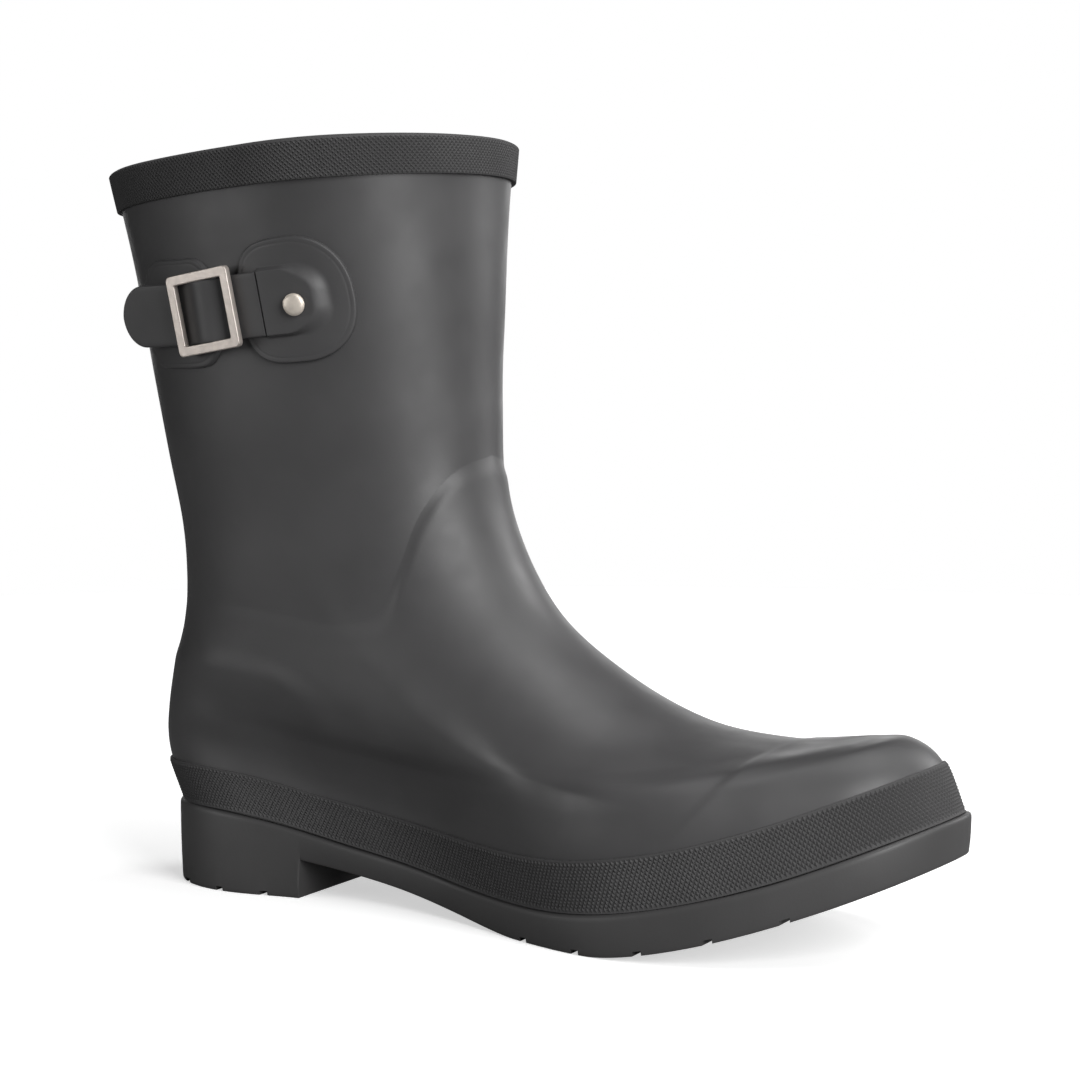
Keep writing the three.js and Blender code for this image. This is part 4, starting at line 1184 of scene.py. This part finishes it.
class BOOT_OT_patches(PieceMaker, bpy.types.Operator):
    """Make the moulded patches under the strap and the cover of its root"""
    bl_idname = "boot.patches"
    bl_label = "Patches and cover"

    def execute(self, context):
        rise = settings().patch_rise / MM + 0.1
        turn = np.linspace(0, 2 * np.pi, PATCH_POINTS, endpoint=False)
        front = patch_shape(RIVET_X - 1.7, patch_outline(turn, 18.5, 19.5, 0.62, 0.85), rim_height(rise))
        rear = patch_shape(BUCKLE_X - 16.3, rounded_octagon(PATCH_POINTS), rim_height(rise))
        build_rings("front_moulding", front, "boot", "patch_rubber", "front_patch")
        build_rings("rear_moulding", rear, "boot", "patch_rubber", "rear_patch")
        cover = cover_shape(rise)
        rows, columns = cover.shape[:2]
        j = np.arange(columns // 2 - 1)
        start = np.stack([j, j + 1, columns - 2 - j, columns - 1 - j], 1)
        end = start[:, ::-1] + (rows - 1) * columns
        faces = [quads(rows, columns, wrap_rows=False), start, end]
        build("cover_moulding", cover, faces, "boot", "patch_rubber", "strap_cover")
        return {"FINISHED"}


class BOOT_OT_strap(PieceMaker, bpy.types.Operator):
    """Make the strap with its free end, which bends where it leaves the buckle"""
    bl_idname = "boot.strap"
    bl_label = "Strap"

    def execute(self, context):
        strip = strap_shape()
        faces = ball_faces(*strip.shape[:2])
        thing = new_piece("strap_strip", ball_points(strip), faces, material_of("strap_rubber"))
        dress(thing, "strap_rubber", "strap", "strap_tail")
        along, _, _, origin = tail_frame()
        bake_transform(thing)
        return {"FINISHED"}


class BOOT_OT_metal(PieceMaker, bpy.types.Operator):
    """Make the buckle with its cross bar, and the rivet"""
    bl_idname = "boot.metal"
    bl_label = "Buckle and rivet"

    def execute(self, context):
        place, bottom = buckle_place()
        ring = buckle_shape(place, bottom)
        faces = [quads(*ring.shape[:2])]
        build("buckle_ring", ring, faces, "buckle", "brushed_nickel", "buckle_frame", sharp=50)
        build_rings("buckle_bar", bar_shape(place, bottom), "buckle", "brushed_nickel")
        build_rings("rivet_dome", rivet_shape(), "boot", "satin_nickel", "rivet")
        return {"FINISHED"}


class BOOT_OT_hidden(PieceMaker, bpy.types.Operator):
    """Give the parts inside the walls and the sole their materials"""
    bl_idname = "boot.hidden"
    bl_label = "Inner parts"

    def execute(self, context):
        inner = {
            "heel_counter": "fibre_board", "toe_puff": "fibre_board", "insole_board": "fibre_board",
            "heel_core": "fibre_board", "shank": "spring_steel",
        }
        for name, slot in inner.items():
            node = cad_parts[name]
            node.data.materials.clear()
            node.data.materials.append(material_of(slot))
        return {"FINISHED"}


CAMERA_TURN = np.radians(28)
CAMERA_RISE = np.radians(4.3)
CAMERA_DISTANCE = 0.793
CAMERA_LENS = 82.8
AIM = Vector((0.00874, 0.0, 0.1192))
WHITE = (1, 1, 1, 1)
FLOOR_RADIUS = 1.1


class BOOT_OT_stage(PieceMaker, bpy.types.Operator):
    """Make the floor, the lights and the camera"""
    bl_idname = "boot.stage"
    bl_label = "Floor, lights and camera"

    def execute(self, context):
        scene = context.scene
        floor = bpy.data.meshes.new("floor")
        turn = np.linspace(0, 2 * np.pi, 64, endpoint=False)
        rim = FLOOR_RADIUS * np.stack([np.cos(turn), np.sin(turn), 0 * turn], -1)
        floor.from_pydata(rim.tolist(), [], [list(range(64))])
        ground = bpy.data.objects.new("floor", floor)
        scene.collection.objects.link(ground)
        material, tree, shader, _ = finish_material("floor_paint", tuple(settings().backdrop), 0.8)
        wire(tree, shader, Specular_IOR_Level=0.0, Emission_Color=WHITE, Emission_Strength=0.55)
        dull = add_node(tree, "BsdfDiffuse", Color=(0.22, 0.22, 0.22, 1))
        self.seen_or_lit(tree, shader, dull, "Material Output")
        floor.materials.append(material)
        ground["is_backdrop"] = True
        world = bpy.data.worlds.new("studio")
        world.use_nodes = True
        scene.world = world
        tree = world.node_tree
        sky = tree.nodes["Background"]
        wire(tree, sky, Color=WHITE, Strength=0.035)
        seen = add_node(tree, "Background", Color=WHITE, Strength=1.0)
        self.seen_or_lit(tree, seen, sky, "World Output")
        for name, place, aim, width, height, power in LIGHTS:
            self.softbox(scene, name, place, aim, width, height, power)
        camera = bpy.data.cameras.new("camera")
        camera.lens = CAMERA_LENS
        camera.sensor_width = 36
        view = bpy.data.objects.new("camera", camera)
        back = Vector((
            np.sin(CAMERA_TURN) * np.cos(CAMERA_RISE), -np.cos(CAMERA_TURN) * np.cos(CAMERA_RISE),
            np.sin(CAMERA_RISE),
        ))
        view.location = AIM + back * CAMERA_DISTANCE
        view.rotation_euler = back.to_track_quat("Z", "Y").to_euler()
        scene.collection.objects.link(view)
        scene.camera = view
        scene.view_settings.view_transform = "Standard"
        return {"FINISHED"}

    @staticmethod
    def seen_or_lit(tree, seen, lit, output):
        """One shader for what the camera sees, and another for the light that reaches the boot."""
        ray = tree.nodes.new("ShaderNodeLightPath")
        both = tree.nodes.new("ShaderNodeMixShader")
        tree.links.new(ray.outputs["Is Camera Ray"], both.inputs[0])
        tree.links.new(lit.outputs[0], both.inputs[1])
        tree.links.new(seen.outputs[0], both.inputs[2])
        tree.links.new(both.outputs[0], tree.nodes[output].inputs["Surface"])

    @staticmethod
    def softbox(scene, name, place, aim, width, height, power):
        """Rectangular light that looks at a point."""
        light = bpy.data.lights.new(name, "AREA")
        light.shape = "RECTANGLE"
        light.size, light.size_y = width, height
        light.energy = power
        lamp = bpy.data.objects.new(name, light)
        lamp.location = place
        lamp.rotation_euler = (Vector(place) - Vector(aim)).to_track_quat("Z", "Y").to_euler()
        scene.collection.objects.link(lamp)


# Name, place, point it looks at, width, height and power of each light.
LIGHTS = [
    ("key_light", (1.75, -0.9, 0.8), (0.0, 0.0, 0.13), 1.1, 1.7, 45),
    ("top_light", (0.5, 0.1, 1.9), (0.05, 0.0, 0.1), 1.4, 1.2, 16),
    ("left_light", (-1.5, -1.5, 0.35), (0.0, 0.0, 0.15), 1.1, 0.8, 9),
    ("rim_light", (1.2, 1.6, 1.0), (0.0, 0.0, 0.15), 1.0, 1.4, 20),
    ("back_light", (-1.0, 1.9, 0.45), (0.0, 0.0, 0.1), 2.4, 0.8, 10),
]

STEPS = ("upper", "bands", "sole", "inside", "patches", "strap", "metal", "hidden", "stage")


class BOOT_PT_panel(bpy.types.Panel):
    """Sizes, finishes and pieces of the boot."""
    bl_label = "Rain boot"
    bl_idname = "BOOT_PT_panel"
    bl_space_type = "VIEW_3D"
    bl_region_type = "UI"
    bl_category = "Rain boot"

    def draw(self, context):
        for name in BootSettings.__annotations__:
            self.layout.prop(context.scene.rain_boot, name)
        for step in STEPS:
            self.layout.operator("boot." + step)


CLASSES = (
    BootSettings, BOOT_OT_upper, BOOT_OT_bands, BOOT_OT_sole, BOOT_OT_inside, BOOT_OT_patches, BOOT_OT_strap,
    BOOT_OT_metal, BOOT_OT_hidden, BOOT_OT_stage, BOOT_PT_panel,
)


def register():
    """Adds the boot's settings, operators and panel."""
    for item in CLASSES:
        bpy.utils.register_class(item)
    bpy.types.Scene.rain_boot = PointerProperty(type=BootSettings)


def unregister():
    """Takes them away again."""
    del bpy.types.Scene.rain_boot
    for item in reversed(CLASSES):
        bpy.utils.unregister_class(item)


def main():
    """Makes every piece."""
    register()
    for step in STEPS:
        getattr(bpy.ops.boot, step)()
    sizes = {
        "model": [list(corner) for corner in model_box],
        "finished": [list(corner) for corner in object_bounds()],
    }


if __name__ == "__main__":
    main()
